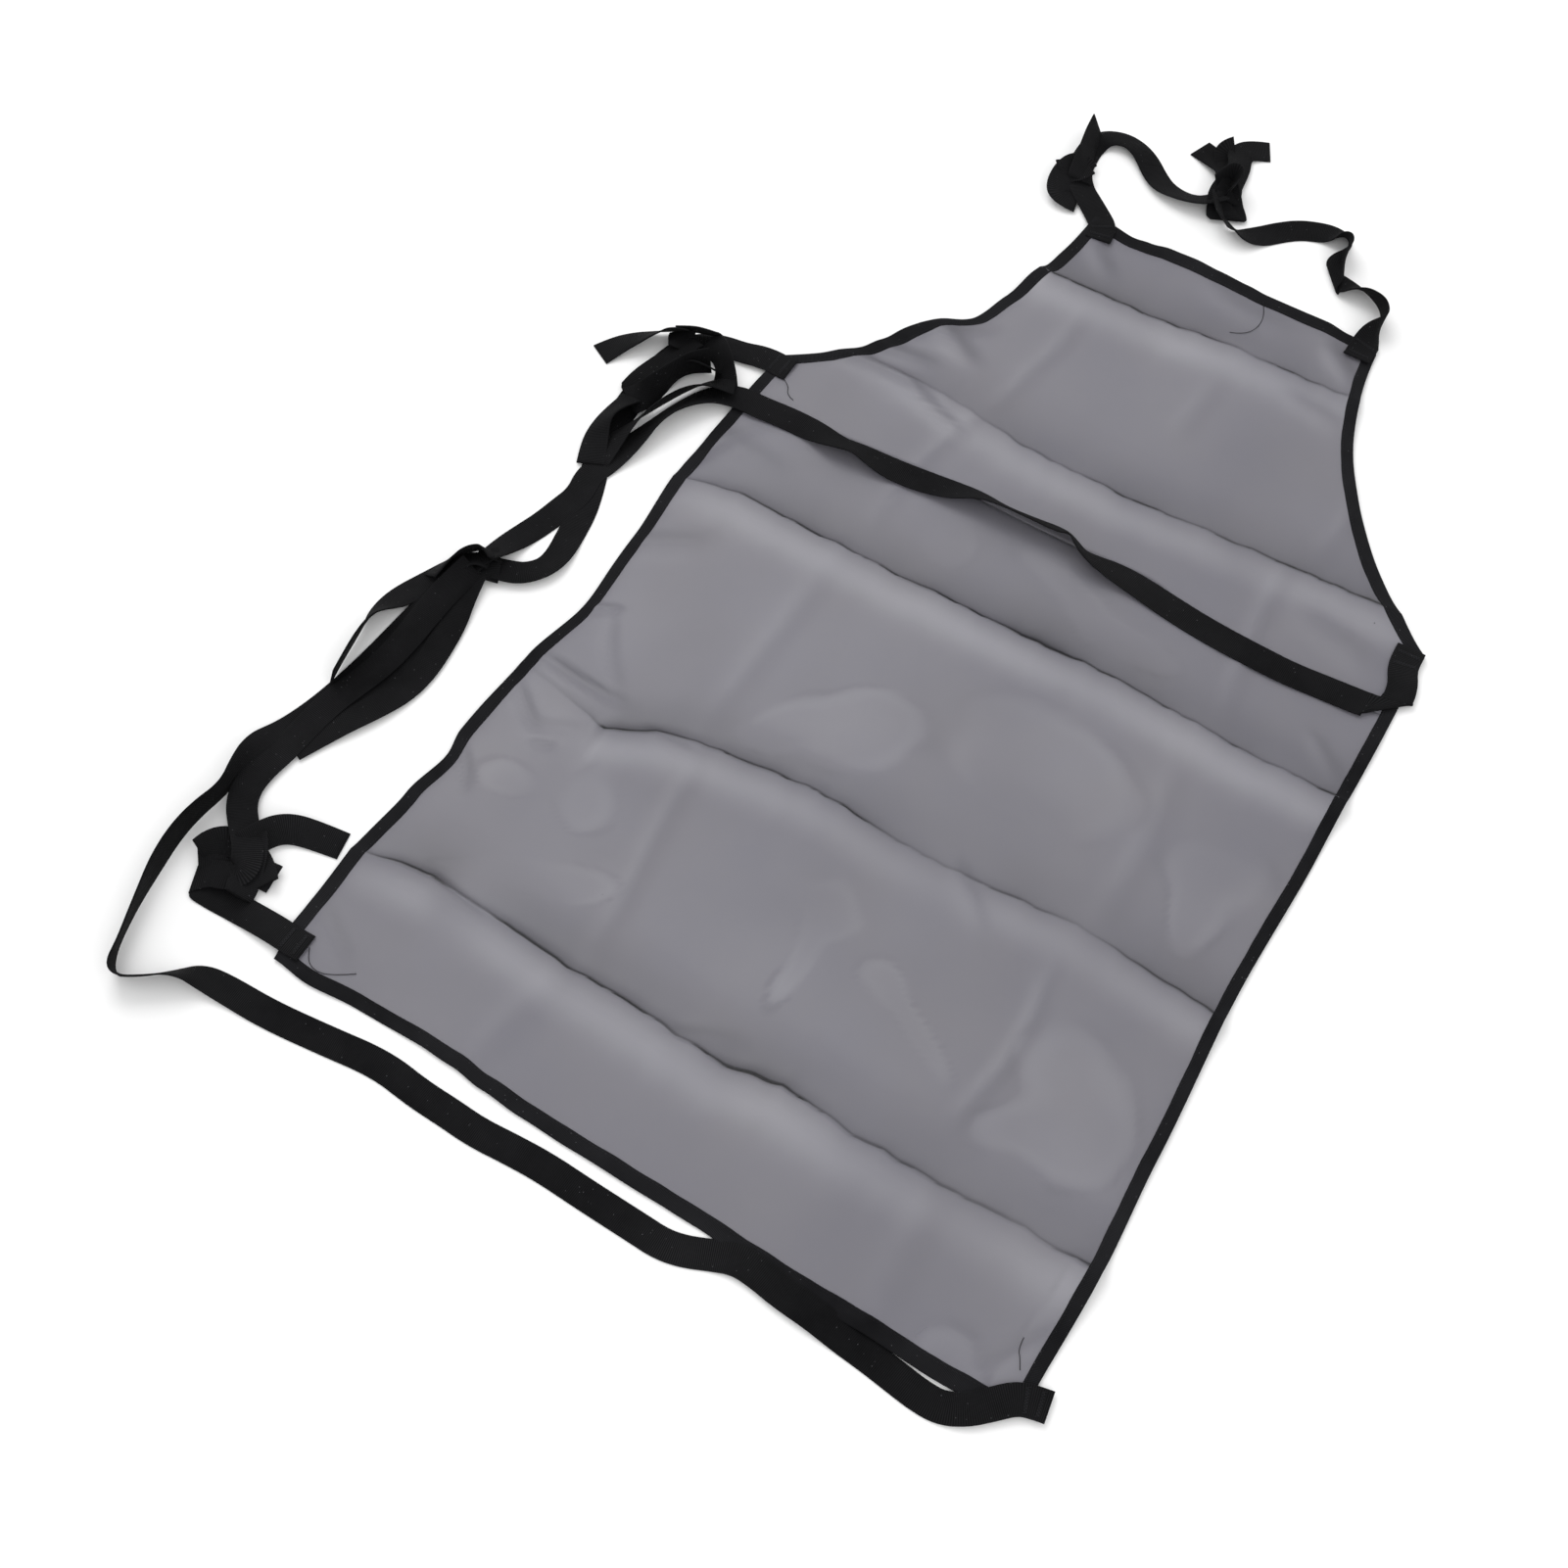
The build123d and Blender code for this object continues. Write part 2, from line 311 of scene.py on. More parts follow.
def stroke_rise(x, v, start, end, wide):
    """How strongly a stroke acts at a point: one along its middle, fading to its ends and sides."""
    ax, av = x - start[0], v - start[1]
    bx, bv = end[0] - start[0], end[1] - start[1]
    run = math.hypot(bx, bv)
    t = (ax * bx + av * bv) / run**2
    if not -0.3 < t < 1.3:
        return 0.0
    bent = 0.12 * run * math.sin(math.pi * t) * noise.noise(Vector((start[0] * 31, start[1] * 31, 0)))
    off = (ax * bv - av * bx) / run + bent
    swell = math.exp(-(abs(t - 0.5) / 0.46) ** 4)
    return swell * bell(off, wide) if abs(off) < 4 * wide else 0.0


def stroke_height(x, v):
    return sum(tall * stroke_rise(x, v, start, end, wide) for start, end, tall, wide in STROKES)


def stroke_painted_shade_and_light(x, v):
    """Painted shade on a buckle's bib side and painted light on its hem side; a crease along the sheet gets
    painted light, with painted shade beside it.
    """
    shade = 0.0
    for start, end, tall, wide in STROKES:
        if abs(end[1] - start[1]) > 0.08:
            shade -= 40 * tall * stroke_rise(x, v, start, end, 0.8 * wide)
            shade += 34 * tall * stroke_rise(x - 1.6 * wide, v, start, end, 0.8 * wide)
        else:
            shade += 75 * tall * stroke_rise(x, v - 0.7 * wide, start, end, 0.75 * wide)
            shade -= 30 * tall * stroke_rise(x, v + 1.1 * wide, start, end, wide)
    return shade


# %% Soft waves and the whole lie of the sheet
REST = 0.0011                                   # the film's middle, where it lies flat
# How far the side edges wander from straight, along v, left and right.
LEFT_WANDER = [(0.0, 0.0), (0.03, -0.007), (0.11, -0.009), (0.17, -0.005), (0.214, 0.002),
               (0.241, -0.003), (0.33, 0.0), (0.397, 0.011), (0.465, 0.005), (0.552, -0.003),
               (0.63, -0.002), (0.716, 0.0), (0.75, 0.002), (0.813, -0.014), (0.845, 0.006),
               (0.88, 0.001), (0.912, -0.003), (0.927, -0.001), (0.954, -0.003), (1.0, -0.003)]
RIGHT_WANDER = [(0.0, -0.004), (0.1, 0.0), (0.2, -0.003), (0.35, -0.007), (0.5, -0.002),
                (0.63, 0.0), (0.716, 0.0), (0.8, 0.003), (0.9, -0.001), (1.0, -0.002)]
# How far the hem and the bib's top lie from straight, along x.
HEM_WANDER = [(-0.335, -0.006), (-0.30, -0.010), (-0.256, -0.007), (-0.20, -0.007), (-0.165, -0.009),
              (-0.135, -0.013), (-0.098, -0.016), (-0.05, -0.018), (0.02, -0.020), (0.06, -0.021),
              (0.104, -0.024), (0.15, -0.026), (0.20, -0.027), (0.27, -0.030), (0.305, -0.029),
              (0.335, -0.016)]
TOP_WANDER = [(-0.145, 0.010), (-0.13, 0.010), (-0.105, 0.006), (-0.09, 0.008), (-0.07, 0.012), (-0.045, 0.013),
              (-0.02, 0.011), (0.01, 0.009), (0.03, 0.007), (0.09, 0.007), (0.115, 0.003), (0.145, 0.0)]
HEM_REACH, TOP_REACH = 0.16, 0.06               # how far into the sheet each of them acts


def soft_waves(x, v):
    """Slow rise and fall, larger toward the edges where nothing presses the film down."""
    edge = min(1.0, abs(x) / half_width(v)) ** 3
    slow = noise.noise(Vector((x * 7.0, v * 7.0, 3.7))) + 0.5 * noise.noise(Vector((x * 19, v * 19, 8)))
    return (0.0012 + 0.0022 * edge) * (slow + 0.55)


def film_height(x, v):
    """Height of the film's middle above the floor."""
    lift = crease_height(x, v) + stroke_height(x, v) + max(0.0, soft_waves(x, v))
    corner = bell(v - WAIST_V, 0.02) * bell(abs(x) - WAIST_HALF, 0.03)
    return REST + lift * (1 - 0.7 * corner)


def hem_slide(x, v):
    """How far the sheet near the hem is pushed along itself."""
    return along(HEM_WANDER, x) * max(0.0, 1 - max(v, 0.0) / HEM_REACH) ** 2


def lay(x, v, lift=0.0):
    """The place of a point of the flat pattern once the sheet is laid out."""
    wander = along(RIGHT_WANDER if x > 0 else LEFT_WANDER, v)
    share = min(1.2, abs(x) / half_width(v)) ** 4
    slide = hem_slide(x, v)
    slide += along(TOP_WANDER, x) * max(0.0, 1 - (LENGTH - min(v, LENGTH)) / TOP_REACH) ** 2
    return Vector((x + wander * share, HEM_Y + v + slide, film_height(x, v) + lift))


print("ridge height at the middle of the skirt crease:", round(film_height(0.0, SKIRT_FOLD), 4))

# %% [markdown]
# ## Where the film clings
# Tinted film that touches the table is lit from below and looks paler there, with a dark line round each patch;
# this light and shade is painted into the film's colour. The patches are soft blobs placed one by one; their
# painted pale middle and painted dark rim go into a point attribute, so that the painted light and shade
# follows the mesh.

# %% Cling patches
# Each blob: centre (x, v), its two radii and its turn in degrees.
BLOBS = [
    ((-0.075, 0.400), 0.055, 0.032, 25), ((-0.035, 0.420), 0.026, 0.030, 0),
    ((-0.118, 0.372), 0.030, 0.014, 40), ((0.065, 0.470), 0.062, 0.036, -15),
    ((0.125, 0.455), 0.052, 0.044, 0), ((0.078, 0.420), 0.050, 0.020, -8),
    ((0.262, 0.440), 0.044, 0.038, 0), ((0.262, 0.395), 0.020, 0.032, 20),
    ((-0.020, 0.262), 0.034, 0.011, -15), ((0.010, 0.215), 0.012, 0.056, 5),
    ((0.020, 0.262), 0.016, 0.018, 0), ((0.078, 0.222), 0.026, 0.014, -35),
    ((0.122, 0.196), 0.040, 0.012, -20), ((-0.215, 0.150), 0.060, 0.013, 20),
    ((-0.165, 0.172), 0.026, 0.016, 50), ((0.235, 0.235), 0.046, 0.040, -35),
    ((0.270, 0.185), 0.030, 0.040, -20), ((0.225, 0.165), 0.036, 0.024, 15),
    ((0.272, 0.010), 0.030, 0.020, 10), ((-0.118, 0.628), 0.040, 0.028, 20),
    ((-0.080, 0.612), 0.030, 0.020, 0), ((0.040, 0.612), 0.070, 0.018, -22),
    ((0.120, 0.598), 0.034, 0.014, -10), ((-0.270, 0.225), 0.030, 0.020, 0),
    ((-0.200, 0.240), 0.022, 0.030, 0)]
RIM = 0.34                                      # where on a blob's slope its rim lies


def drift(x, v, scale, amount):
    """A soft shift of a flat point, the same in every run."""
    shift_x = noise.noise(Vector((x * scale, v * scale, 1.3)))
    shift_v = noise.noise(Vector((x * scale, v * scale, 5.2)))
    return Vector((shift_x, shift_v)) * amount


def blob_field(x, v):
    warp = drift(x, v, 15, 0.013) + drift(x, v, 48, 0.0035)
    x, v = x + warp.x, v + warp.y
    total = 0.0
    for (cx, cv), wide, tall, turn in BLOBS:
        dx, dv = x - cx, v - cv
        if abs(dx) < 0.14 and abs(dv) < 0.14:
            c, s = math.cos(math.radians(turn)), math.sin(math.radians(turn))
            total += math.exp(-(((dx * c + dv * s) / wide) ** 2 + ((dv * c - dx * s) / tall) ** 2))
    return total


def cling_painted_light_and_shade(x, v):
    """Painted light just inside a patch, with a thin rim of painted shade that comes and goes."""
    field = blob_field(x, v)
    if field < 0.05:
        return 0.0
    comes = max(0.1, 0.55 + 1.3 * noise.noise(Vector((x * 9, v * 9, 2.2))))
    broken = max(0.0, 0.45 + 1.6 * noise.noise(Vector((x * 26, v * 26, 7.7))))
    inside = min(1.0, max(0.0, (field - RIM) / 0.5))
    rim, glow = bell(field - RIM, 0.06), bell(field - RIM - 0.26, 0.22)
    return comes * (0.14 * rim * broken - 0.07 * glow - 0.08 * inside)


def film_tone_and_painted_light(x, v):
    """Above zero is darker than the plain film, below zero lighter: painted shade and painted light at creases,
    buckles and cling patches, with random tone.
    """
    edge = 1 - abs(x) / half_width(v)
    slow = noise.noise(Vector((x * 4, v * 4, 6.1))) + 0.6 * noise.noise(Vector((x * 11, v * 11, 2.6)))
    lap = x - 0.3015 - 0.083 * v                # past the edge of a doubled strip at the corner
    doubled = (0.06 * bell(lap, 0.0016) - 0.05 * (lap > 0)) if v < 0.099 else 0.0
    tone_and_shading = crease_painted_shade_and_light(x, v) + stroke_painted_shade_and_light(x, v) + cling_painted_light_and_shade(x, v) + 0.075 * slow + doubled
    return max(-1.0, min(1.0, tone_and_shading + 0.06 * bell(edge, 0.04)))


# %% [markdown]
# ## Film
# The film is one sheet. It folds at two creases, and a mesh can bend across only one joint, so it is
# made as two sheets that meet under the waist tie, where the tie covers the line. Rows of points
# crowd round each crease, because that is where the shape turns fastest.

# %% Where the two sheets meet
# The line follows the middle of the waist tie: place across as a share of the half width, and v.
MEET = [(-1.0, 0.662), (-0.75, 0.663), (-0.4, 0.668), (0.0, 0.665), (0.25, 0.668), (0.45, 0.652),
        (0.7, 0.638), (1.0, 0.645)]
MEET_V = 0.66
ROW_STEP, COLUMNS = 0.0042, 168
FILM_IN = 0.0012                                # how far the film's cut edge stays inside the fold
NEAR = (-0.012, -0.009, -0.006, -0.004, -0.0025, -0.0012, 0.0, 0.0012, 0.0025, 0.004, 0.006, 0.009, 0.012)


def middle_of(line):
    return straight(line, 0.0)


def row_levels(start, end, creases):
    """Distances from the hem at the sheet's middle, crowded round each crease."""
    count = round((end - start) / ROW_STEP)
    levels = [start + (end - start) * i / count for i in range(count + 1)]
    far = [v for v in levels if all(abs(v - middle_of(line)) > 0.014 for line, _ in creases)]
    near = [middle_of(line) + step for line, _ in creases for step in NEAR]
    return sorted(set(far + near + [start, end]))


def film_sheet(name, start, end, creases):
    """One panel of film as a grid whose rows bend along its creases."""
    levels = row_levels(start, end, creases)
    points, tones_and_shading = [], []
    for level in levels:
        for column in range(COLUMNS + 1):
            share = 2 * column / COLUMNS - 1
            rough_x = share * half_width(level)
            knots = [(start, start), (end, end)]
            knots += [(middle_of(line), crease_line(line, rough_x)) for line, _ in creases]
            knots = [(at, along(MEET, share) if at == MEET_V else to) for at, to in sorted(knots)]
            for (low, first), (high, second) in zip(knots, knots[1:]):
                if level <= high:
                    v = first + (second - first) * (level - low) / (high - low)
                    break
            x = share * (half_width(v) - FILM_IN)
            points.append(lay(x, v))
            tones_and_shading.append(film_tone_and_painted_light(x, v))
    wide = COLUMNS + 1
    faces = [(r * wide + c, r * wide + c + 1, (r + 1) * wide + c + 1, (r + 1) * wide + c)
             for r in range(len(levels) - 1) for c in range(COLUMNS)]
    piece = mesh_piece(name, points, faces, FILM_FINISH)
    # Point attribute of random tone plus painted shade and painted light
    tone_and_shading = piece.data.attributes.new("film_tone_and_painted_light", "FLOAT", "POINT")
    tone_and_shading.data.foreach_set("value", tones_and_shading)
    print(name, "points", len(points))
    return piece


# %% [markdown]
# ## Finishes
# The film is a dark plastic seen as a veil: a soft gloss, painted shade and painted light from a point
# attribute, and an alpha that lets the floor glow through. Binding, webbing and thread are all black textile,
# so they share one weave group that gives each its own rib spacing, and one group for the pale fluff that black
# cloth collects and for the broad patches where the ribs get painted highlights.


# %% Node helpers
def group(name, inputs, outputs):
    """A shader node group with named sockets: its tree, its input node and its output node."""
    tree = bpy.data.node_groups.new(name, "ShaderNodeTree")
    for label, kind, value in inputs:
        socket = tree.interface.new_socket(label, in_out="INPUT", socket_type=kind)
        if value is not None:
            socket.default_value = value
    for label, kind in outputs:
        tree.interface.new_socket(label, in_out="OUTPUT", socket_type=kind)
    return tree, tree.nodes.new("NodeGroupInput"), tree.nodes.new("NodeGroupOutput")


def maths(tree, kind, first, second=None):
    """A Math node; a number is set on its socket, anything else is linked to it."""
    node = tree.nodes.new("ShaderNodeMath")
    node.operation = kind
    for socket, value in zip(node.inputs, (first, second)):
        if isinstance(value, (int, float)):
            socket.default_value = value
        elif value is not None:
            tree.links.new(value, socket)
    return node.outputs[0]


def mix_colour(tree, factor, first, second):
    """A colour between two colours, each a value or a link."""
    node = tree.nodes.new("ShaderNodeMix")
    node.data_type = "RGBA"
    node.clamp_factor = True
    for socket, value in ((node.inputs[0], factor), (node.inputs[6], first), (node.inputs[7], second)):
        if isinstance(value, (int, float)):
            socket.default_value = value
        elif isinstance(value, tuple):
            socket.default_value = (*value, 1.0)
        else:
            tree.links.new(value, socket)
    return node.outputs[2]


def speckle(tree, where, scale, spread):
    """One for small round specks scattered over a surface, nought elsewhere."""
    cells = tree.nodes.new("ShaderNodeTexVoronoi")
    cells.inputs["Scale"].default_value = scale
    tree.links.new(where, cells.inputs["Vector"])
    near = maths(tree, "LESS_THAN", cells.outputs["Distance"], spread)
    pick = tree.nodes.new("ShaderNodeSeparateColor")
    tree.links.new(cells.outputs["Color"], pick.inputs[0])
    return maths(tree, "MULTIPLY", near, maths(tree, "GREATER_THAN", pick.outputs[0], 0.93))


# %% Weave and lint groups
COLOUR, VALUE = "NodeSocketColor", "NodeSocketFloat"

weave, weave_in, weave_out = group(
    "ribbed_weave",
    [("Rib Spacing", VALUE, 0.0015), ("Half Width", VALUE, 0.01), ("Selvedge", VALUE, 0.0014)],
    [("Height", VALUE), ("Rib", VALUE)])
weave_uv = weave.nodes.new("ShaderNodeTexCoord")
weave_split = weave.nodes.new("ShaderNodeSeparateXYZ")
weave.links.new(weave_uv.outputs["UV"], weave_split.inputs[0])
run_along, run_across = weave_split.outputs[0], weave_split.outputs[1]
turns = maths(weave, "DIVIDE", run_along, weave_in.outputs["Rib Spacing"])
rib = maths(weave, "SINE", maths(weave, "MULTIPLY", turns, 2 * math.pi))
warp_turns = maths(weave, "MULTIPLY", run_across, 2 * math.pi / 0.0011)
warp = maths(weave, "MULTIPLY", maths(weave, "SINE", warp_turns), 0.4)
cloth = maths(weave, "ADD", rib, maths(weave, "MULTIPLY", warp, rib))
from_edge = maths(weave, "SUBTRACT", weave_in.outputs["Half Width"], maths(weave, "ABSOLUTE", run_across))
at_edge = maths(weave, "LESS_THAN", from_edge, weave_in.outputs["Selvedge"])
plain = maths(weave, "SUBTRACT", 1.0, at_edge)
body_height = maths(weave, "MULTIPLY", cloth, plain)
weave.links.new(maths(weave, "ADD", body_height, maths(weave, "MULTIPLY", at_edge, 0.9)),
                weave_out.inputs["Height"])
weave.links.new(maths(weave, "MULTIPLY_ADD", rib, 0.5), weave_out.inputs["Rib"])

lint_and_highlight, lint_in, lint_out = group(
    "lint_and_highlight", [("Base", COLOUR, (0.01, 0.01, 0.01, 1)), ("Amount", VALUE, 0.5)],
    [("Color", COLOUR), ("Highlight_Patch", VALUE)])
lint_place = lint_and_highlight.nodes.new("ShaderNodeTexCoord")
lint_cloud = lint_and_highlight.nodes.new("ShaderNodeTexNoise")
lint_cloud.inputs["Scale"].default_value = 60.0
lint_cloud.inputs["Detail"].default_value = 4.0
lint_and_highlight.links.new(lint_place.outputs["Object"], lint_cloud.inputs["Vector"])
patchy = maths(lint_and_highlight, "MULTIPLY", lint_cloud.outputs[0], lint_in.outputs["Amount"])
# Broad patches where the cloth's ribs get painted highlights
broad_cloud = lint_and_highlight.nodes.new("ShaderNodeTexNoise")
broad_cloud.inputs["Scale"].default_value = 7.0
lint_and_highlight.links.new(lint_place.outputs["Object"], broad_cloud.inputs["Vector"])
patch = maths(lint_and_highlight, "MULTIPLY_ADD", broad_cloud.outputs[0], 1.8)
patch.node.inputs[2].default_value = -0.5
patch.node.use_clamp = True
lint_and_highlight.links.new(patch, lint_out.inputs["Highlight_Patch"])
fluffed = mix_colour(lint_and_highlight, patchy, lint_in.outputs["Base"], (0.055, 0.055, 0.06))
flecks = speckle(lint_and_highlight, lint_place.outputs["Object"], 420.0, 0.16)
lint_and_highlight.links.new(mix_colour(lint_and_highlight, maths(lint_and_highlight, "MULTIPLY", flecks, 0.5), fluffed, (0.16, 0.16, 0.17)),
               lint_out.inputs["Color"])


# %% Textile finishes
def textile(name, colour, spacing, half_width_of, depth, fluff):
    """Black cloth with ribs across its length, painted highlights on the ribs in broad patches, and a little
    fluff.
    """
    tree, shader, finish = material(name)
    pattern = tree.nodes.new("ShaderNodeGroup")
    pattern.node_tree = weave
    pattern.inputs["Rib Spacing"].default_value = spacing
    pattern.inputs["Half Width"].default_value = half_width_of
    dust_and_highlight = tree.nodes.new("ShaderNodeGroup")
    dust_and_highlight.node_tree = lint_and_highlight
    dust_and_highlight.inputs["Base"].default_value = (*colour, 1)
    dust_and_highlight.inputs["Amount"].default_value = fluff
    # Painted highlights: the rib crests are lightened in the base colour, in broad patches
    lighter = tuple(8 * part + 0.010 for part in colour)
    shown = maths(tree, "MULTIPLY", pattern.outputs["Rib"], dust_and_highlight.outputs["Highlight_Patch"])
    ribbed = mix_colour(tree, shown, dust_and_highlight.outputs["Color"], lighter)
    tree.links.new(ribbed, shader.inputs["Base Color"])
    bump = tree.nodes.new("ShaderNodeBump")
    bump.inputs["Distance"].default_value = depth
    bump.inputs["Strength"].default_value = 0.7
    tree.links.new(pattern.outputs["Height"], bump.inputs["Height"])
    tree.links.new(bump.outputs[0], shader.inputs["Normal"])
    shader.inputs["Roughness"].default_value = 0.82
    shader.inputs["Specular IOR Level"].default_value = 0.05
    shader.inputs["Sheen Weight"].default_value = 0.01
    shader.inputs["Sheen Roughness"].default_value = 0.4
    return finish


WEBBING = textile("webbing", (0.0016, 0.0016, 0.0018), 0.0015, TIE_WIDTH / 2, 0.00024, 0.10)
TAPE = textile("binding_tape", (0.0022, 0.0022, 0.0026), 0.0011, BINDING_WIDTH, 0.00010, 0.14)
THREAD = textile("thread", (0.0050, 0.0050, 0.0056), 0.0008, 0.001, 0.00005, 0.2)

# %% Film finish
film_tree, film_shader, FILM_FINISH = material("tinted_film")
tone_and_shading_node = film_tree.nodes.new("ShaderNodeAttribute")
tone_and_shading_node.attribute_name = "film_tone_and_painted_light"
# darker carries the painted shade and paler the painted light from the attribute, both with some random tone
darker = maths(film_tree, "MAXIMUM", tone_and_shading_node.outputs["Fac"], 0.0)
paler = maths(film_tree, "MAXIMUM", maths(film_tree, "MULTIPLY", tone_and_shading_node.outputs["Fac"], -1.0), 0.0)
place = film_tree.nodes.new("ShaderNodeTexCoord")
cloud = film_tree.nodes.new("ShaderNodeTexNoise")
cloud.inputs["Scale"].default_value = 9.0
cloud.inputs["Detail"].default_value = 5.0
film_tree.links.new(place.outputs["Object"], cloud.inputs["Vector"])
FILM_PLAIN, FILM_WARM = (0.176, 0.173, 0.212), (0.204, 0.196, 0.217)
# The painted shade colour and the painted light colour
FILM_DARK, FILM_PALE = (0.006, 0.006, 0.008), (0.60, 0.60, 0.64)
base = mix_colour(film_tree, cloud.outputs[0], FILM_PLAIN, FILM_WARM)
base = mix_colour(film_tree, darker, base, FILM_DARK)
base = mix_colour(film_tree, paler, base, FILM_PALE)
specks = speckle(film_tree, place.outputs["Object"], 34.0, 0.022)
base = mix_colour(film_tree, maths(film_tree, "MULTIPLY", specks, 0.8), base, (0.01, 0.01, 0.01))
film_tree.links.new(base, film_shader.inputs["Base Color"])
# Where shade is painted, the film is also more opaque
veil = maths(film_tree, "MULTIPLY_ADD", darker, 0.25)
veil.node.inputs[2].default_value = 0.60
film_tree.links.new(veil, film_shader.inputs["Alpha"])
grain = film_tree.nodes.new("ShaderNodeTexNoise")
grain.inputs["Scale"].default_value = 900.0
film_tree.links.new(place.outputs["Object"], grain.inputs["Vector"])
film_bump = film_tree.nodes.new("ShaderNodeBump")
film_bump.inputs["Distance"].default_value = 0.00004
film_bump.inputs["Strength"].default_value = 0.5
film_tree.links.new(grain.outputs[0], film_bump.inputs["Height"])
film_tree.links.new(film_bump.outputs[0], film_shader.inputs["Normal"])
rough = maths(film_tree, "MULTIPLY_ADD", cloud.outputs[0], 0.14)
rough.node.inputs[2].default_value = 0.34
film_tree.links.new(rough, film_shader.inputs["Roughness"])
film_shader.inputs["Specular IOR Level"].default_value = 0.45

# %% Make the film
film_lower = film_sheet("film_lower", FILM_IN, MEET_V, CREASES[:3])
film_upper = film_sheet("film_upper", MEET_V, LENGTH - FILM_IN, CREASES[3:])
for sheet in (film_lower, film_upper):
    wall = sheet.modifiers.new("thickness", "SOLIDIFY")
    wall.thickness, wall.offset = FILM, 0.0

# %% [markdown]
# ## Binding
# The binding is a tape folded over the film's edge and sewn through. Its section is a flat pocket: a
# round fold outside, two thin leaves inside, and a dip where the stitches pull it down. The same
# section follows the outline for each length of tape.

# %% Section of the folded tape
# Each point: share of the binding's width inward from the fold, and height from the film.
LEAF = [(0.0, 0.0), (0.03, 0.62), (0.14, 0.95), (0.42, 0.88), (0.66, 0.84), (0.74, 0.60), (0.82, 0.58),
        (0.90, 0.78), (0.975, 0.72), (1.0, 0.34)]
HALF_BINDING = BINDING * 0.56


def tape_ring():
    top = [(share, height * HALF_BINDING) for share, height in LEAF]
    under = [(share, -height * HALF_BINDING) for share, height in reversed(LEAF[1:])]
    return top + under


def edge_run(side, start, end, step=0.0015):
    """Outline points (x, v) up one side of the apron with their inward directions."""
    count = max(8, round(abs(end - start) / step))
    run = []
    for i in range(count + 1):
        v = start + (end - start) * i / count
        slope = (half_width(v + 0.0005) - half_width(v - 0.0005)) / 0.001
        if v >= WAIST_V:
            slope = (half_width(v + 0.001) - half_width(v)) / 0.001 if v < LENGTH - 0.002 else 0.0
        inward = Vector((-1.0, slope)).normalized()
        run.append((Vector((side * half_width(v), v)), Vector((side * inward.x, inward.y))))
    return run


def level_run(half, v, inward, step=0.003):
    """Outline points straight across the apron."""
    count = round(2 * half / step)
    return [(Vector((-half + 2 * half * i / count, v)), Vector((0.0, inward))) for i in range(count + 1)]


def tape_piece(name, run, flip):
    """A length of folded tape along a run of outline points."""
    ring = tape_ring()
    points, travel, lengths = [], 0.0, []
    for i, (place_on, inward) in enumerate(run):
        if i:
            travel += (place_on - run[i - 1][0]).length
        lengths.append(travel)
        pucker = 1 + 0.05 * noise.noise(Vector((travel * 45, 0.3, len(name))))
        for share, height in ring:
            spot = place_on + inward * (share * BINDING_WIDTH * pucker - 0.0004)
            held = min(max(spot.y, 0.0), LENGTH)
            laid = lay(spot.x, held)
            laid.y += spot.y - held
            laid.z = max(laid.z + height * pucker, 0.0001)
            points.append(laid)
    faces = tube_faces(len(run), len(ring))
    if not flip:
        faces = [face[::-1] for face in faces]
    piece = mesh_piece(name, points, faces, TAPE)
    pattern_places(piece, [(travelled, share * BINDING_WIDTH) for travelled in lengths for share, _ in ring])
    return piece


# %% Make the binding
bindings = {"hem_binding": tape_piece("hem_tape", level_run(HEM_HALF, 0.0, 1.0), True)}
bindings["bib_binding"] = tape_piece("bib_tape", level_run(BIB_HALF, LENGTH, -1.0), False)
for side_name, side in (("left", -1), ("right", 1)):
    low_run = edge_run(side, BINDING_WIDTH * 0.6, WAIST_V + 0.002)
    high_run = edge_run(side, WAIST_V, LENGTH - BINDING_WIDTH * 0.6)
    bindings[f"side_{side_name}"] = tape_piece(f"side_tape_{side_name}", low_run, side > 0)
    bindings[f"armhole_{side_name}"] = tape_piece(f"armhole_tape_{side_name}", high_run, side > 0)
print("binding pieces:", len(bindings))

# %% [markdown]
# ## Ties
# Webbing is a flat strap, so a round cord will not do. Each tie follows a smooth curve through its
# route, and every sample of the curve carries a straight line across the strap. A tilt turns that
# line about the route where the strap stands on its edge, and at a fold the line swings to the fold
# itself, as paper does when it is turned over.


# %% Reading a smooth curve
def spline_samples(values, steps=10):
    """Points along the smooth curve that three-number control values make."""
    curve = bpy.data.curves.new("route", "CURVE")
    curve.dimensions = "3D"
    curve.resolution_u = steps
    line = curve.splines.new("NURBS")
    line.points.add(len(values) - 1)
    for point, value in zip(line.points, values):
        point.co = (*value, 1.0)
    line.order_u = 3
    line.use_endpoint_u = True
    holder = bpy.data.objects.new("route", curve)
    bpy.context.collection.objects.link(holder)
    bpy.context.view_layer.update()
    mesh = bpy.data.meshes.new_from_object(holder.evaluated_get(bpy.context.evaluated_depsgraph_get()))
    found = [vertex.co.copy() for vertex in mesh.vertices]
    bpy.data.objects.remove(holder)
    bpy.data.curves.remove(curve)
    bpy.data.meshes.remove(mesh)
    return found


# %% What a strap lies on
def ground(x, v):
    """The height under a strap: the floor, or the highest of the apron beneath its width."""
    top = 0.0
    for dx in (-0.016, 0.0, 0.016):
        for dv in (-0.009, 0.0, 0.009):
            px, pv = x + dx, v + dv
            pv -= hem_slide(px, pv)
            if 0 <= pv <= LENGTH and abs(px) <= half_width(pv):
                near_edge = min(pv, LENGTH - pv, half_width(pv) - abs(px)) < BINDING_WIDTH
                top = max(top, film_height(px, pv) + (HALF_BINDING if near_edge else FILM / 2))
    return top


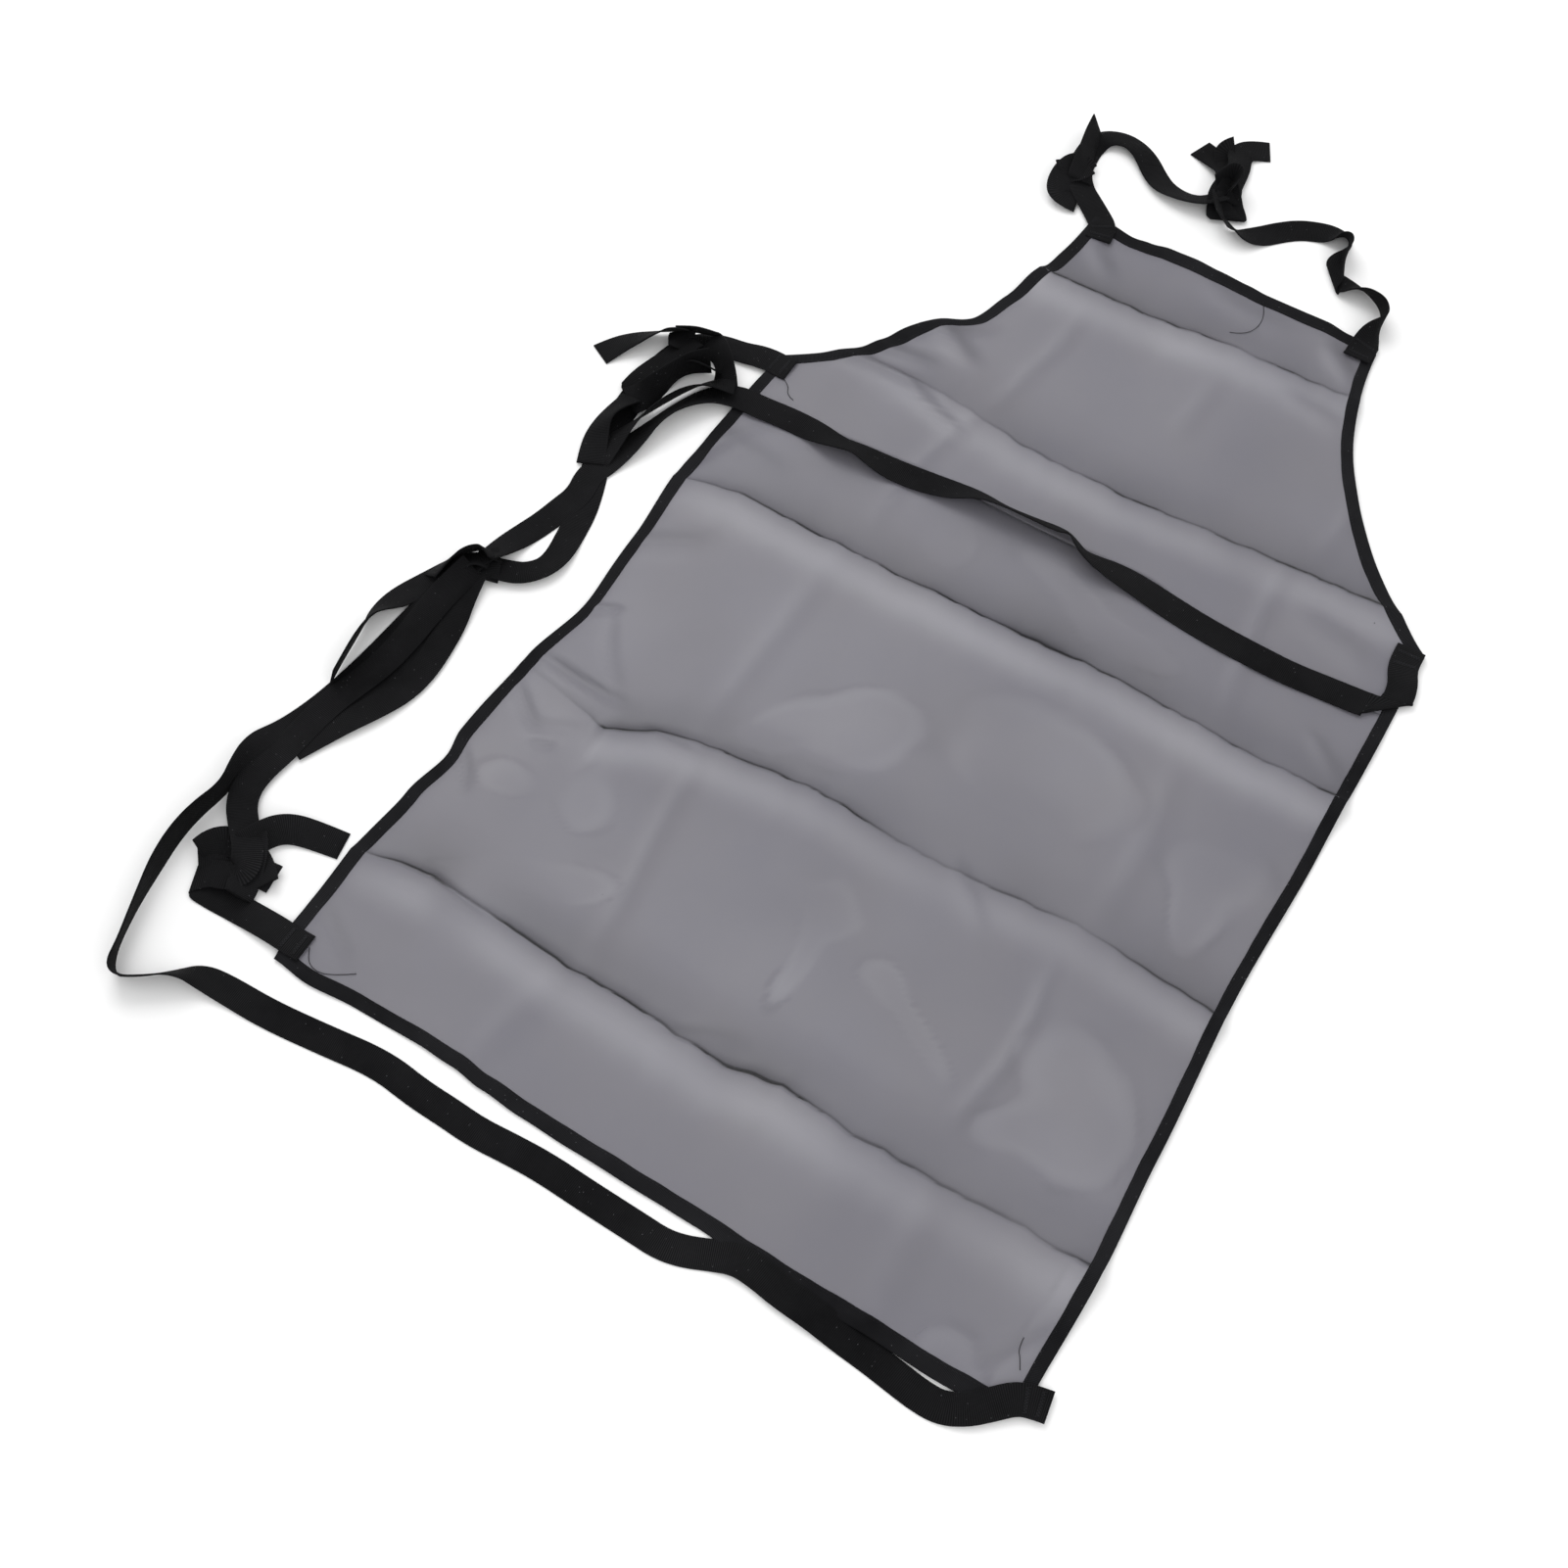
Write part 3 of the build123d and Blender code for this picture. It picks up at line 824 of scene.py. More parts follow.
def row_frame(route):
    """Control points of a route whose rows give x, v, height of the lower edge, and tilt."""
    return [(x, HEM_Y + v, ground(x, v) + low + TIE / 2 + abs(math.sin(math.radians(tilt))) * TIE_WIDTH / 2)
            for x, v, low, tilt, *_ in route]


# %% Strap builder
# The strap's section: share of the half width, and share of the half thickness.
SECTION = [(-1.0, 0.0), (-0.985, 0.7), (-0.95, 1.0), (-0.5, 1.0), (0.0, 1.0), (0.5, 1.0), (0.95, 1.0),
           (0.985, 0.7), (1.0, 0.0), (0.985, -0.7), (0.95, -1.0), (0.5, -1.0), (0.0, -1.0), (-0.5, -1.0),
           (-0.95, -1.0), (-0.985, -0.7)]
FOLD_REACH = 0.004                              # how far a fold's turn spreads along the strap
OFF_FLOOR = 0.0002                              # the lowest a strap's surface may be


def strap_stations(route, width, steps):
    """Centre, line across and heading at each sample of a strap's route."""
    centres = spline_samples(row_frame(route), steps)
    tilts = [sample.x for sample in spline_samples([(row[3], 0.0, float(i)) for i, row in enumerate(route)],
                                                   steps)]
    folds = [i for i, row in enumerate(route) if len(row) > 4]
    spots = []
    for i in folds:
        before, here, after = (Vector(p) for p in row_frame(route)[i - 1:i + 2])
        arrive, leave = (here - before).normalized(), (after - here).normalized()
        line = arrive + leave
        line.z = 0.0
        if line.length < 0.35:
            line = Vector((-arrive.y, arrive.x, 0.0))
        middle = min(range(len(centres)), key=lambda k: (centres[k] - here).length)
        spots.append((middle, line.normalized(), arrive))
    stations, facing = [], 1.0
    travel = [0.0]
    for a, b in zip(centres, centres[1:]):
        travel.append(travel[-1] + (b - a).length)
    last = len(centres) - 1
    for k, centre in enumerate(centres):
        ahead = (centres[min(k + 1, last)] - centres[max(k - 1, 0)]).normalized()
        flat = Vector((ahead.x, ahead.y, 0.0)).normalized()
        side = Vector((-flat.y, flat.x, 0.0))
        if any(k == middle for middle, _, _ in spots):
            facing = -facing
        turn = math.radians(tilts[k])
        across = (side * math.cos(turn) + Vector((0, 0, 1)) * math.sin(turn)) * (facing * width / 2)
        for middle, line, arrive in spots:
            gap = abs(travel[k] - travel[middle])
            slant = max(0.6, abs(line.dot(Vector((-arrive.y, arrive.x, 0.0)).normalized())))
            fold_line = line * (width / 2 / slant)
            if fold_line.dot(across) < 0:
                fold_line = -fold_line
            across = across.lerp(fold_line, max(0.0, min(1.0, 1 - (gap - FOLD_REACH) / (width * 0.5))))
        stations.append([centre, across, ahead])
    return stations, travel


def strap_mesh(stations, travel, width, base):
    """Points, faces and pattern coordinates of a strap's closed mesh."""
    points, marks = [], []
    for k, (centre, across, ahead) in enumerate(stations):
        normal = across.cross(ahead).normalized()
        for wide, deep in SECTION:
            points.append(centre + across * wide + normal * (deep * TIE / 2))
            points[-1].z = max(points[-1].z, OFF_FLOOR)
            marks.append((travel[k], wide * width / 2))
    return points, tube_faces(len(stations), len(SECTION), base), marks


def recalculated(piece):
    """Turns every face of a closed mesh outward."""
    shell = bmesh.new()
    shell.from_mesh(piece.data)
    bmesh.ops.recalc_face_normals(shell, faces=shell.faces)
    shell.to_mesh(piece.data)
    shell.free()
    return piece


def straps(name, parts, width=TIE_WIDTH, steps=8):
    """One piece made of one or more straps, each with its own route."""
    points, faces, marks, centres = [], [], [], []
    for part in parts:
        stations, travel = strap_stations(part, width, steps)
        more, sides, where = strap_mesh(stations, travel, width, len(points))
        points += more
        faces += sides
        marks += where
        centres.append([tuple(station[0]) for station in stations])
    piece = mesh_piece(name, points, faces, WEBBING)
    pattern_places(piece, marks)
    return recalculated(piece), centres


def route_length(path):
    return sum((Vector(b) - Vector(a)).length for a, b in zip(path, path[1:]))


# %% Routes of the ties
# Each row: x, distance from the hem, height of the strap's lower edge over what it lies on, and
# tilt in degrees: how far the side on the left of the way it runs is raised. A fifth value marks
# a fold. About 60 for a strap that runs to the left, and 105 for one that runs to the bib, puts it
# on its edge in the main view.
NECK_LEFT = [
    (-0.133, 0.984, 0, 0), (-0.134, 0.993, 0, 0), (-0.138, 1.003, 0, 0), (-0.148, 1.014, 0, 4),
    (-0.162, 1.025, 0, 8), (-0.178, 1.037, 0, 10), (-0.189, 1.053, 0.002, 10), (-0.193, 1.072, 0, 0),
    (-0.194, 1.090, 0, 0), (-0.188, 1.105, 0, -10), (-0.172, 1.112, 0, -18), (-0.155, 1.109, 0, -20),
    (-0.140, 1.100, 0, -14), (-0.127, 1.088, 0, -10), (-0.112, 1.077, 0, -14), (-0.095, 1.073, 0, -26),
    (-0.080, 1.073, 0.001, -30), (-0.066, 1.078, 0.003, -30), (-0.055, 1.090, 0.004, -30)]
NECK_RIGHT = [
    (0.131, 0.978, 0, 0), (0.131, 0.988, 0, 0), (0.132, 1.001, 0, 20), (0.135, 1.013, 0, 74),
    (0.136, 1.024, 0, 104), (0.131, 1.037, 0, 92), (0.122, 1.045, 0, 76), (0.110, 1.050, 0, 62),
    (0.098, 1.052, 0, 40), (0.086, 1.053, 0, 10), (0.068, 1.054, 0.002, 0, 1),
    (0.075, 1.070, 0.002, 76), (0.073, 1.084, 0.002, 104), (0.070, 1.096, 0, 92), (0.063, 1.104, 0, 40),
    (0.050, 1.106, 0, 8), (0.036, 1.103, 0, 0), (0.020, 1.096, 0, 0), (0.006, 1.084, 0, 0),
    (-0.006, 1.071, 0, 0), (-0.018, 1.060, 0, 16), (-0.032, 1.056, 0.001, 60),
    (-0.047, 1.060, 0.003, 60), (-0.058, 1.080, 0.004, 60)]
WAIST_LEFT = [
    (-0.296, 0.7035, 0, 0), (-0.305, 0.7035, 0, 0), (-0.316, 0.705, 0, 0), (-0.329, 0.703, 0, 0),
    (-0.346, 0.701, 0, 4), (-0.363, 0.699, 0, 8), (-0.378, 0.694, 0, 10), (-0.390, 0.684, 0, 14),
    (-0.397, 0.668, 0, 14), (-0.401, 0.644, 0, 10), (-0.402, 0.614, 0, 0), (-0.400, 0.584, 0, 0),
    (-0.396, 0.554, 0, 0), (-0.388, 0.526, 0, 0), (-0.377, 0.500, 0, 0), (-0.369, 0.476, 0, 0),
    (-0.365, 0.452, 0, 0), (-0.361, 0.430, 0, 8), (-0.362, 0.412, 0.001, 14),
    (-0.372, 0.398, 0.002, 10), (-0.384, 0.391, 0.003, 6), (-0.398, 0.387, 0.003, 10)]
WAIST_RIGHT = [
    (0.302, 0.715, 0, 0), (0.302, 0.7035, 0, 0), (0.304, 0.692, 0, 0), (0.310, 0.680, 0, 0),
    (0.313, 0.664, 0, 0), (0.309, 0.648, 0.001, 0, 1), (0.290, 0.645, 0.001, 0), (0.262, 0.644, 0, 0),
    (0.228, 0.641, 0, 2), (0.196, 0.642, 0, 0), (0.150, 0.645, 0, 0), (0.109, 0.650, 0, 0),
    (0.077, 0.655, 0, 6), (0.054, 0.656, 0, 16), (0.036, 0.655, 0, 34), (0.021, 0.657, 0, 54),
    (0.009, 0.665, 0, 64), (-0.002, 0.667, 0, 44), (-0.030, 0.665, 0, 50), (-0.058, 0.664, 0, 54),
    (-0.082, 0.665, 0, 40), (-0.110, 0.660, 0, 10), (-0.148, 0.655, 0, 0), (-0.173, 0.654, 0, 10),
    (-0.198, 0.655, 0, 34), (-0.215, 0.652, 0, 30), (-0.245, 0.656, 0, 0), (-0.270, 0.656, 0, 0),
    (-0.296, 0.653, 0, 0), (-0.321, 0.652, 0.002, 0), (-0.342, 0.640, 0.003, 20),
    (-0.357, 0.614, 0.002, 42), (-0.366, 0.588, 0.001, 46), (-0.372, 0.561, 0.001, 20),
    (-0.380, 0.534, 0.001, 0), (-0.387, 0.514, 0.001, 0), (-0.382, 0.492, 0.001, 0),
    (-0.388, 0.470, 0, 0), (-0.392, 0.452, 0, 0), (-0.399, 0.432, 0, 0), (-0.405, 0.412, 0.001, 10),
    (-0.409, 0.392, 0.003, 30)]
HEM_LEFT = [
    (-0.318, 0.013, 0, 0), (-0.334, 0.013, 0, 0), (-0.350, 0.014, 0, 0), (-0.385, 0.015, 0, 0),
    (-0.414, 0.014, 0, 0), (-0.436, 0.016, 0.001, 0, 1), (-0.424, 0.028, 0.004, 0),
    (-0.404, 0.032, 0.008, 0), (-0.398, 0.044, 0.011, 6), (-0.408, 0.060, 0.012, 10),
    (-0.424, 0.074, 0.009, 14), (-0.438, 0.088, 0.005, 14), (-0.446, 0.104, 0.003, 10),
    (-0.447, 0.124, 0.003, 4), (-0.443, 0.148, 0.003, 0), (-0.441, 0.172, 0.003, 0),
    (-0.438, 0.200, 0.004, 0), (-0.431, 0.228, 0.004, 0), (-0.423, 0.256, 0.004, 0),
    (-0.420, 0.288, 0.004, 6), (-0.420, 0.318, 0.004, 10), (-0.418, 0.348, 0.005, 20),
    (-0.412, 0.375, 0.006, 30)]
HEM_RIGHT = [
    (0.346, -0.006, 0, 0), (0.334, -0.008, 0, 0), (0.322, -0.013, 0, 0), (0.309, -0.026, 0, 0),
    (0.296, -0.038, 0, 0), (0.280, -0.045, 0, 0), (0.262, -0.045, 0, 0), (0.240, -0.042, 0, 0),
    (0.218, -0.039, 0, 0), (0.196, -0.037, 0, 0), (0.170, -0.034, 0, 0), (0.143, -0.032, 0, 0),
    (0.120, -0.028, 0, 0), (0.101, -0.027, 0, 0), (0.083, -0.033, 0, 0), (0.065, -0.041, 0, 0),
    (0.047, -0.045, 0, 0), (0.026, -0.044, 0, 0), (0.0, -0.043, 0, 0), (-0.024, -0.042, 0, 0),
    (-0.060, -0.040, 0, 0), (-0.089, -0.041, 0, 0), (-0.119, -0.043, 0, 0), (-0.146, -0.041, 0, 0),
    (-0.174, -0.040, 0, 0), (-0.212, -0.035, 0, 0), (-0.261, -0.041, 0, 0), (-0.311, -0.046, 0, 0),
    (-0.350, -0.046, 0, 4), (-0.374, -0.048, 0, 20), (-0.390, -0.058, 0, 60), (-0.408, -0.073, 0, 64),
    (-0.424, -0.083, 0, 66), (-0.434, -0.080, 0, 90), (-0.441, -0.064, 0, 104),
    (-0.448, -0.042, 0, 102), (-0.455, -0.016, 0, 95), (-0.461, 0.010, 0, 84), (-0.465, 0.038, 0, 84),
    (-0.464, 0.064, 0, 88), (-0.458, 0.090, 0, 94), (-0.461, 0.112, 0, 80), (-0.461, 0.136, 0, 50),
    (-0.454, 0.160, 0, 10), (-0.447, 0.186, 0, 0), (-0.440, 0.215, 0, 0), (-0.434, 0.255, 0, 0),
    (-0.430, 0.300, 0, 0), (-0.424, 0.340, 0.001, 10), (-0.416, 0.372, 0.003, 20)]

# %% Routes of the knots and bows
NECK_KNOT = [
    [(-0.182, 1.040, 0.003, 20), (-0.187, 1.057, 0.003, 50), (-0.192, 1.076, 0.002, 58),
     (-0.196, 1.092, 0.001, 60), (-0.199, 1.108, 0.001, 68)],
    [(-0.172, 1.018, 0.002, 0), (-0.188, 1.014, 0.003, 10), (-0.196, 1.024, 0.003, 20),
     (-0.197, 1.044, 0.004, 30), (-0.190, 1.058, 0.005, 20), (-0.181, 1.054, 0.006, 0)],
    [(-0.200, 1.036, 0.003, 40), (-0.196, 1.044, 0.007, 10), (-0.187, 1.050, 0.007, 0),
     (-0.180, 1.058, 0.004, -20)]]
NECK_BOW = [
    [(-0.050, 1.086, 0.004, 20), (-0.055, 1.104, 0.005, 24), (-0.066, 1.122, 0.004, 14),
     (-0.083, 1.134, 0.002, 4), (-0.105, 1.142, 0, 0)],
    [(-0.054, 1.090, 0.002, 30), (-0.056, 1.112, 0.003, 44), (-0.060, 1.132, 0.003, 30),
     (-0.068, 1.150, 0.002, 10), (-0.062, 1.164, 0.002, 0), (-0.046, 1.172, 0, 0)],
    [(-0.066, 1.124, 0.001, 0), (-0.074, 1.136, 0.002, 6), (-0.080, 1.147, 0.002, 14),
     (-0.074, 1.151, 0.003, 24)],
    [(-0.060, 1.102, 0.002, 30), (-0.050, 1.090, 0.002, 10), (-0.040, 1.076, 0.002, 0),
     (-0.042, 1.068, 0.003, 0, 1), (-0.052, 1.074, 0.005, 10), (-0.060, 1.088, 0.006, 20),
     (-0.058, 1.100, 0.006, 30)],
    [(-0.066, 1.094, 0.002, 70), (-0.063, 1.108, 0.004, 74), (-0.055, 1.114, 0.005, 66),
     (-0.050, 1.102, 0.004, 66), (-0.054, 1.088, 0.002, 70)]]
WAIST_KNOT = [
    [(-0.402, 0.690, 0.003, 20), (-0.399, 0.684, 0.007, 6), (-0.394, 0.678, 0.008, -6),
     (-0.390, 0.668, 0.003, -30)],
    [(-0.366, 0.700, 0.002, 56), (-0.379, 0.696, 0.003, 61), (-0.392, 0.692, 0.003, 61),
     (-0.405, 0.686, 0.003, 56)],
    [(-0.374, 0.689, 0.006, 20), (-0.362, 0.685, 0.005, 46), (-0.350, 0.677, 0.003, 58),
     (-0.341, 0.665, 0.001, 40), (-0.334, 0.652, 0, 6), (-0.328, 0.640, 0, 0)]]
WAIST_BOW = [
    [(-0.394, 0.690, 0.003, 50), (-0.408, 0.683, 0.003, 60), (-0.421, 0.672, 0.002, 44),
     (-0.434, 0.661, 0.001, 24), (-0.446, 0.648, 0, 10), (-0.454, 0.633, 0, 0)],
    [(-0.384, 0.684, 0.006, 20), (-0.390, 0.668, 0.006, 20), (-0.398, 0.646, 0.006, 14),
     (-0.405, 0.622, 0.005, 6), (-0.404, 0.596, 0.004, 0, 1), (-0.390, 0.602, 0.005, 30),
     (-0.382, 0.622, 0.005, 66), (-0.378, 0.642, 0.005, 86), (-0.370, 0.658, 0.005, 80),
     (-0.358, 0.668, 0.004, 66)],
    [(-0.398, 0.602, 0.004, 20), (-0.404, 0.582, 0.004, 40), (-0.406, 0.562, 0.003, 40),
     (-0.400, 0.542, 0.002, 10), (-0.392, 0.524, 0.002, 0)],
    [(-0.326, 0.658, 0.004, 10), (-0.344, 0.650, 0.004, 40), (-0.359, 0.632, 0.003, 62),
     (-0.370, 0.608, 0.003, 68), (-0.379, 0.582, 0.002, 60), (-0.386, 0.556, 0.002, 30),
     (-0.390, 0.530, 0.001, 0)],
    [(-0.345, 0.661, 0.004, 56), (-0.360, 0.662, 0.005, 56), (-0.376, 0.659, 0.005, 50),
     (-0.388, 0.650, 0.004, 30), (-0.397, 0.634, 0.003, 10)]]
HEM_KNOT = [
    [(-0.438, 0.032, 0.001, 30), (-0.424, 0.042, 0.002, 0), (-0.402, 0.048, 0.003, 0),
     (-0.376, 0.049, 0.002, 10)],
    [(-0.410, 0.072, 0.001, 40), (-0.404, 0.060, 0.006, 10), (-0.397, 0.044, 0.007, 0),
     (-0.391, 0.028, 0.004, -20), (-0.388, 0.020, 0.001, -50)],
    [(-0.438, 0.036, 0.001, 60), (-0.434, 0.052, 0.003, 30), (-0.420, 0.060, 0.004, 10),
     (-0.404, 0.058, 0.005, 0), (-0.390, 0.050, 0.005, 0), (-0.378, 0.040, 0.003, 20)],
    [(-0.412, 0.058, 0.004, 30), (-0.404, 0.076, 0.003, 46), (-0.394, 0.090, 0.002, 30),
     (-0.378, 0.098, 0.001, 8), (-0.349, 0.103, 0, 0)]]
HEM_BOW = [
    [(-0.404, 0.390, 0.004, 20), (-0.417, 0.386, 0.003, 34), (-0.429, 0.370, 0.002, 26),
     (-0.438, 0.350, 0.001, 10), (-0.451, 0.324, 0, 4), (-0.457, 0.300, 0, 40),
     (-0.456, 0.284, 0.001, 66), (-0.454, 0.264, 0.001, 73), (-0.451, 0.242, 0, 73),
     (-0.446, 0.222, 0.002, 74)],
    [(-0.398, 0.390, 0.002, 58), (-0.412, 0.398, 0.002, 62), (-0.425, 0.388, 0.002, 68),
     (-0.434, 0.372, 0.001, 60), (-0.440, 0.350, 0, 40)],
    [(-0.410, 0.372, 0.003, 10), (-0.405, 0.348, 0.003, 6), (-0.398, 0.324, 0.002, 0),
     (-0.394, 0.300, 0.002, 0), (-0.391, 0.272, 0.002, 0), (-0.394, 0.246, 0.002, 0),
     (-0.404, 0.220, 0.002, 6), (-0.416, 0.198, 0.002, 6), (-0.428, 0.176, 0.002, 0),
     (-0.438, 0.154, 0.002, 0)],
    [(-0.412, 0.366, 0.001, 0), (-0.411, 0.340, 0.001, 0), (-0.408, 0.305, 0.001, 0),
     (-0.408, 0.270, 0.001, 0), (-0.412, 0.240, 0.001, 0), (-0.424, 0.208, 0.001, 0)]]
BUNDLE_KNOT = [
    [(-0.414, 0.400, 0.004, 10), (-0.406, 0.392, 0.009, 0), (-0.399, 0.382, 0.008, 0),
     (-0.396, 0.373, 0.003, -10)],
    [(-0.400, 0.398, 0.003, 40), (-0.406, 0.392, 0.005, 30), (-0.412, 0.382, 0.006, 16),
     (-0.415, 0.370, 0.004, 10)]]

# %% Make the ties, knots and bows
TIES = {"neck_tie_left": NECK_LEFT, "neck_tie_right": NECK_RIGHT, "waist_tie_left": WAIST_LEFT,
        "waist_tie_right": WAIST_RIGHT, "hem_tie_left": HEM_LEFT, "hem_tie_right": HEM_RIGHT}
PULLED = 0.7                                    # how far a tight knot draws the webbing in
KNOTS = {"neck_knot": NECK_KNOT, "neck_bow": NECK_BOW, "waist_knot": WAIST_KNOT, "waist_bow": WAIST_BOW,
         "hem_knot": HEM_KNOT, "hem_bow": HEM_BOW, "bundle_knot": BUNDLE_KNOT}
ties, knots = {}, {}
for tie_name, tie_route in TIES.items():
    tie, (tie_path,) = straps(f"{tie_name}_webbing", [tie_route], steps=10)
    ties[tie_name] = (tie, tie_path)
    print(tie_name, "length", round(route_length(tie_path), 3))
for knot_name, knot_routes in KNOTS.items():
    drawn_in = PULLED if knot_name == "bundle_knot" else 1.0
    knots[knot_name], _ = straps(f"{knot_name}_webbing", knot_routes, TIE_WIDTH * drawn_in)
print("knots and bows:", len(knots))

# %% [markdown]
# ## Stitches and bar tacks
# A lockstitch is one short rounded thread after another, so Geometry Nodes places one bead along
# the tape's stitch line at even spacing and turns each to follow the line. The bar tack that
# holds a tie is the same bead in a close zigzag.

# %% Stitch instancer
STITCH_SPACING, STITCH_LENGTH, STITCH_THICK = 0.0030, 0.0022, 0.00055
STITCH_IN = 0.0088                              # the stitch line's distance from the fold


def bead_mesh(length, thick):
    """A short rounded thread along x."""
    rings, sides = 5, 6
    points = []
    for i in range(rings):
        t = -1 + 2 * i / (rings - 1)
        girth = thick / 2 * math.sqrt(max(0.06, 1 - t**4))
        for j in range(sides):
            turn = 2 * math.pi * j / sides
            points.append((t * length / 2, girth * math.cos(turn), girth * math.sin(turn)))
    return points, tube_faces(rings, sides)


bead = recalculated(mesh_piece("stitch_bead", *bead_mesh(STITCH_LENGTH, STITCH_THICK), THREAD))

stitcher = bpy.data.node_groups.new("stitch_row", "GeometryNodeTree")
SOCKETS = {"Geometry": "NodeSocketGeometry", "Spacing": "NodeSocketFloat", "Wobble": "NodeSocketFloat",
           "Seed": "NodeSocketInt", "Bead": "NodeSocketObject", "Thread": "NodeSocketMaterial"}
for label, kind in SOCKETS.items():
    stitcher.interface.new_socket(label, in_out="INPUT", socket_type=kind)
stitcher.interface.new_socket("Geometry", in_out="OUTPUT", socket_type="NodeSocketGeometry")
stitch_in = stitcher.nodes.new("NodeGroupInput")
stitch_out = stitcher.nodes.new("NodeGroupOutput")
to_curve = stitcher.nodes.new("GeometryNodeMeshToCurve")
resample = stitcher.nodes.new("GeometryNodeResampleCurve")
resample.mode = "LENGTH"
tangent = stitcher.nodes.new("GeometryNodeInputTangent")
aim = stitcher.nodes.new("FunctionNodeAlignRotationToVector")
aim.axis = "X"
bead_info = stitcher.nodes.new("GeometryNodeObjectInfo")
shake = stitcher.nodes.new("FunctionNodeRandomValue")
shake.data_type = "FLOAT_VECTOR"
shift = stitcher.nodes.new("GeometryNodeSetPosition")
place_beads = stitcher.nodes.new("GeometryNodeInstanceOnPoints")
realize = stitcher.nodes.new("GeometryNodeRealizeInstances")
dress = stitcher.nodes.new("GeometryNodeSetMaterial")
spread = stitcher.nodes.new("ShaderNodeVectorMath")
spread.operation = "SCALE"
link = stitcher.links.new
link(stitch_in.outputs["Geometry"], to_curve.inputs["Mesh"])
link(to_curve.outputs[0], resample.inputs["Curve"])
link(stitch_in.outputs["Spacing"], resample.inputs["Length"])
link(resample.outputs[0], shift.inputs["Geometry"])
shake.inputs["Min"].default_value = (-1, -1, 0)
shake.inputs["Max"].default_value = (1, 1, 0.3)
link(stitch_in.outputs["Seed"], shake.inputs["Seed"])
link(shake.outputs[0], spread.inputs[0])
link(stitch_in.outputs["Wobble"], spread.inputs["Scale"])
link(spread.outputs[0], shift.inputs["Offset"])
link(shift.outputs[0], place_beads.inputs["Points"])
link(stitch_in.outputs["Bead"], bead_info.inputs["Object"])
link(bead_info.outputs["Geometry"], place_beads.inputs["Instance"])
link(tangent.outputs[0], aim.inputs["Vector"])
link(aim.outputs[0], place_beads.inputs["Rotation"])
link(place_beads.outputs[0], realize.inputs[0])
link(realize.outputs[0], dress.inputs["Geometry"])
link(stitch_in.outputs["Thread"], dress.inputs["Material"])
link(dress.outputs[0], stitch_out.inputs[0])


def stitches(name, lines, spacing=STITCH_SPACING, wobble=0.00018, seed=3):
    """A plain mesh of stitches along lines of points."""
    points, edges = [], []
    for line in lines:
        base = len(points)
        points += [tuple(p) for p in line]
        edges += [(base + i, base + i + 1) for i in range(len(line) - 1)]
    mesh = bpy.data.meshes.new(name)
    mesh.from_pydata(points, edges, [])
    holder = bpy.data.objects.new(name, mesh)
    bpy.context.collection.objects.link(holder)
    rows = holder.modifiers.new("stitches", "NODES")
    rows.node_group = stitcher
    values = {"Spacing": spacing, "Wobble": wobble, "Seed": seed, "Bead": bead, "Thread": THREAD}
    for item in stitcher.interface.items_tree:
        if item.in_out == "INPUT" and item.name in values:
            rows[item.identifier] = values[item.name]
    bpy.context.view_layer.update()
    made = bpy.data.meshes.new_from_object(holder.evaluated_get(bpy.context.evaluated_depsgraph_get()))
    holder.modifiers.remove(rows)
    holder.data = made
    made.name = name
    if not made.materials:
        made.materials.append(THREAD)
    return holder


# %% Stitch lines on the binding
def stitch_line(run):
    """Points of the stitch line of a length of tape, on top of it."""
    line = []
    for place_on, inward in run:
        spot = place_on + inward * STITCH_IN
        laid = lay(spot.x, min(max(spot.y, 0.0), LENGTH), HALF_BINDING * 0.60 + 0.0001)
        line.append(laid)
    return line


def side_lines(start, end):
    return [stitch_line(edge_run(side, start, end)) for side in (-1, 1)]


hem_and_sides = [stitch_line(level_run(HEM_HALF - BINDING_WIDTH, 0.0, 1.0)),
                 *side_lines(STITCH_IN, WAIST_V - 0.001)]
armholes_and_top = [stitch_line(level_run(BIB_HALF - BINDING_WIDTH, LENGTH, -1.0)),
                    *side_lines(WAIST_V + 0.004, LENGTH - STITCH_IN)]
lower_stitches = stitches("lower_stitches", hem_and_sides)
upper_stitches = stitches("upper_stitches", armholes_and_top, seed=7)


# %% Bar tacks on the sewn ends
def tack_line(tie_name, at, turns=17, half=0.0095):
    """A close zigzag across the strap, a given share of its length from the start."""
    stations = strap_stations(TIES[tie_name], TIE_WIDTH, 10)[0]
    centre, across, ahead = min(stations, key=lambda s: abs((s[0] - stations[0][0]).length - at))
    raised = centre + Vector((0, 0, TIE / 2 + 0.0002))
    line = []
    for i in range(turns + 1):
        share = -1 + 2 * i / turns
        line.append(raised + across.normalized() * (share * half) + ahead * (0.0011 if i % 2 else -0.0011))
    return line


TACKS_AT = (0.006, 0.017)                       # from a tie's sewn end
tacks = {}
for level in ("neck", "waist", "hem"):
    zigzags = [tack_line(f"{level}_tie_{side_name}", at)
               for side_name in ("left", "right") for at in TACKS_AT]
    tacks[f"{level}_bar_tacks"] = stitches(f"{level}_tacks", zigzags, 0.0011, wobble=0.0001, seed=11)
bpy.data.objects.remove(bead)


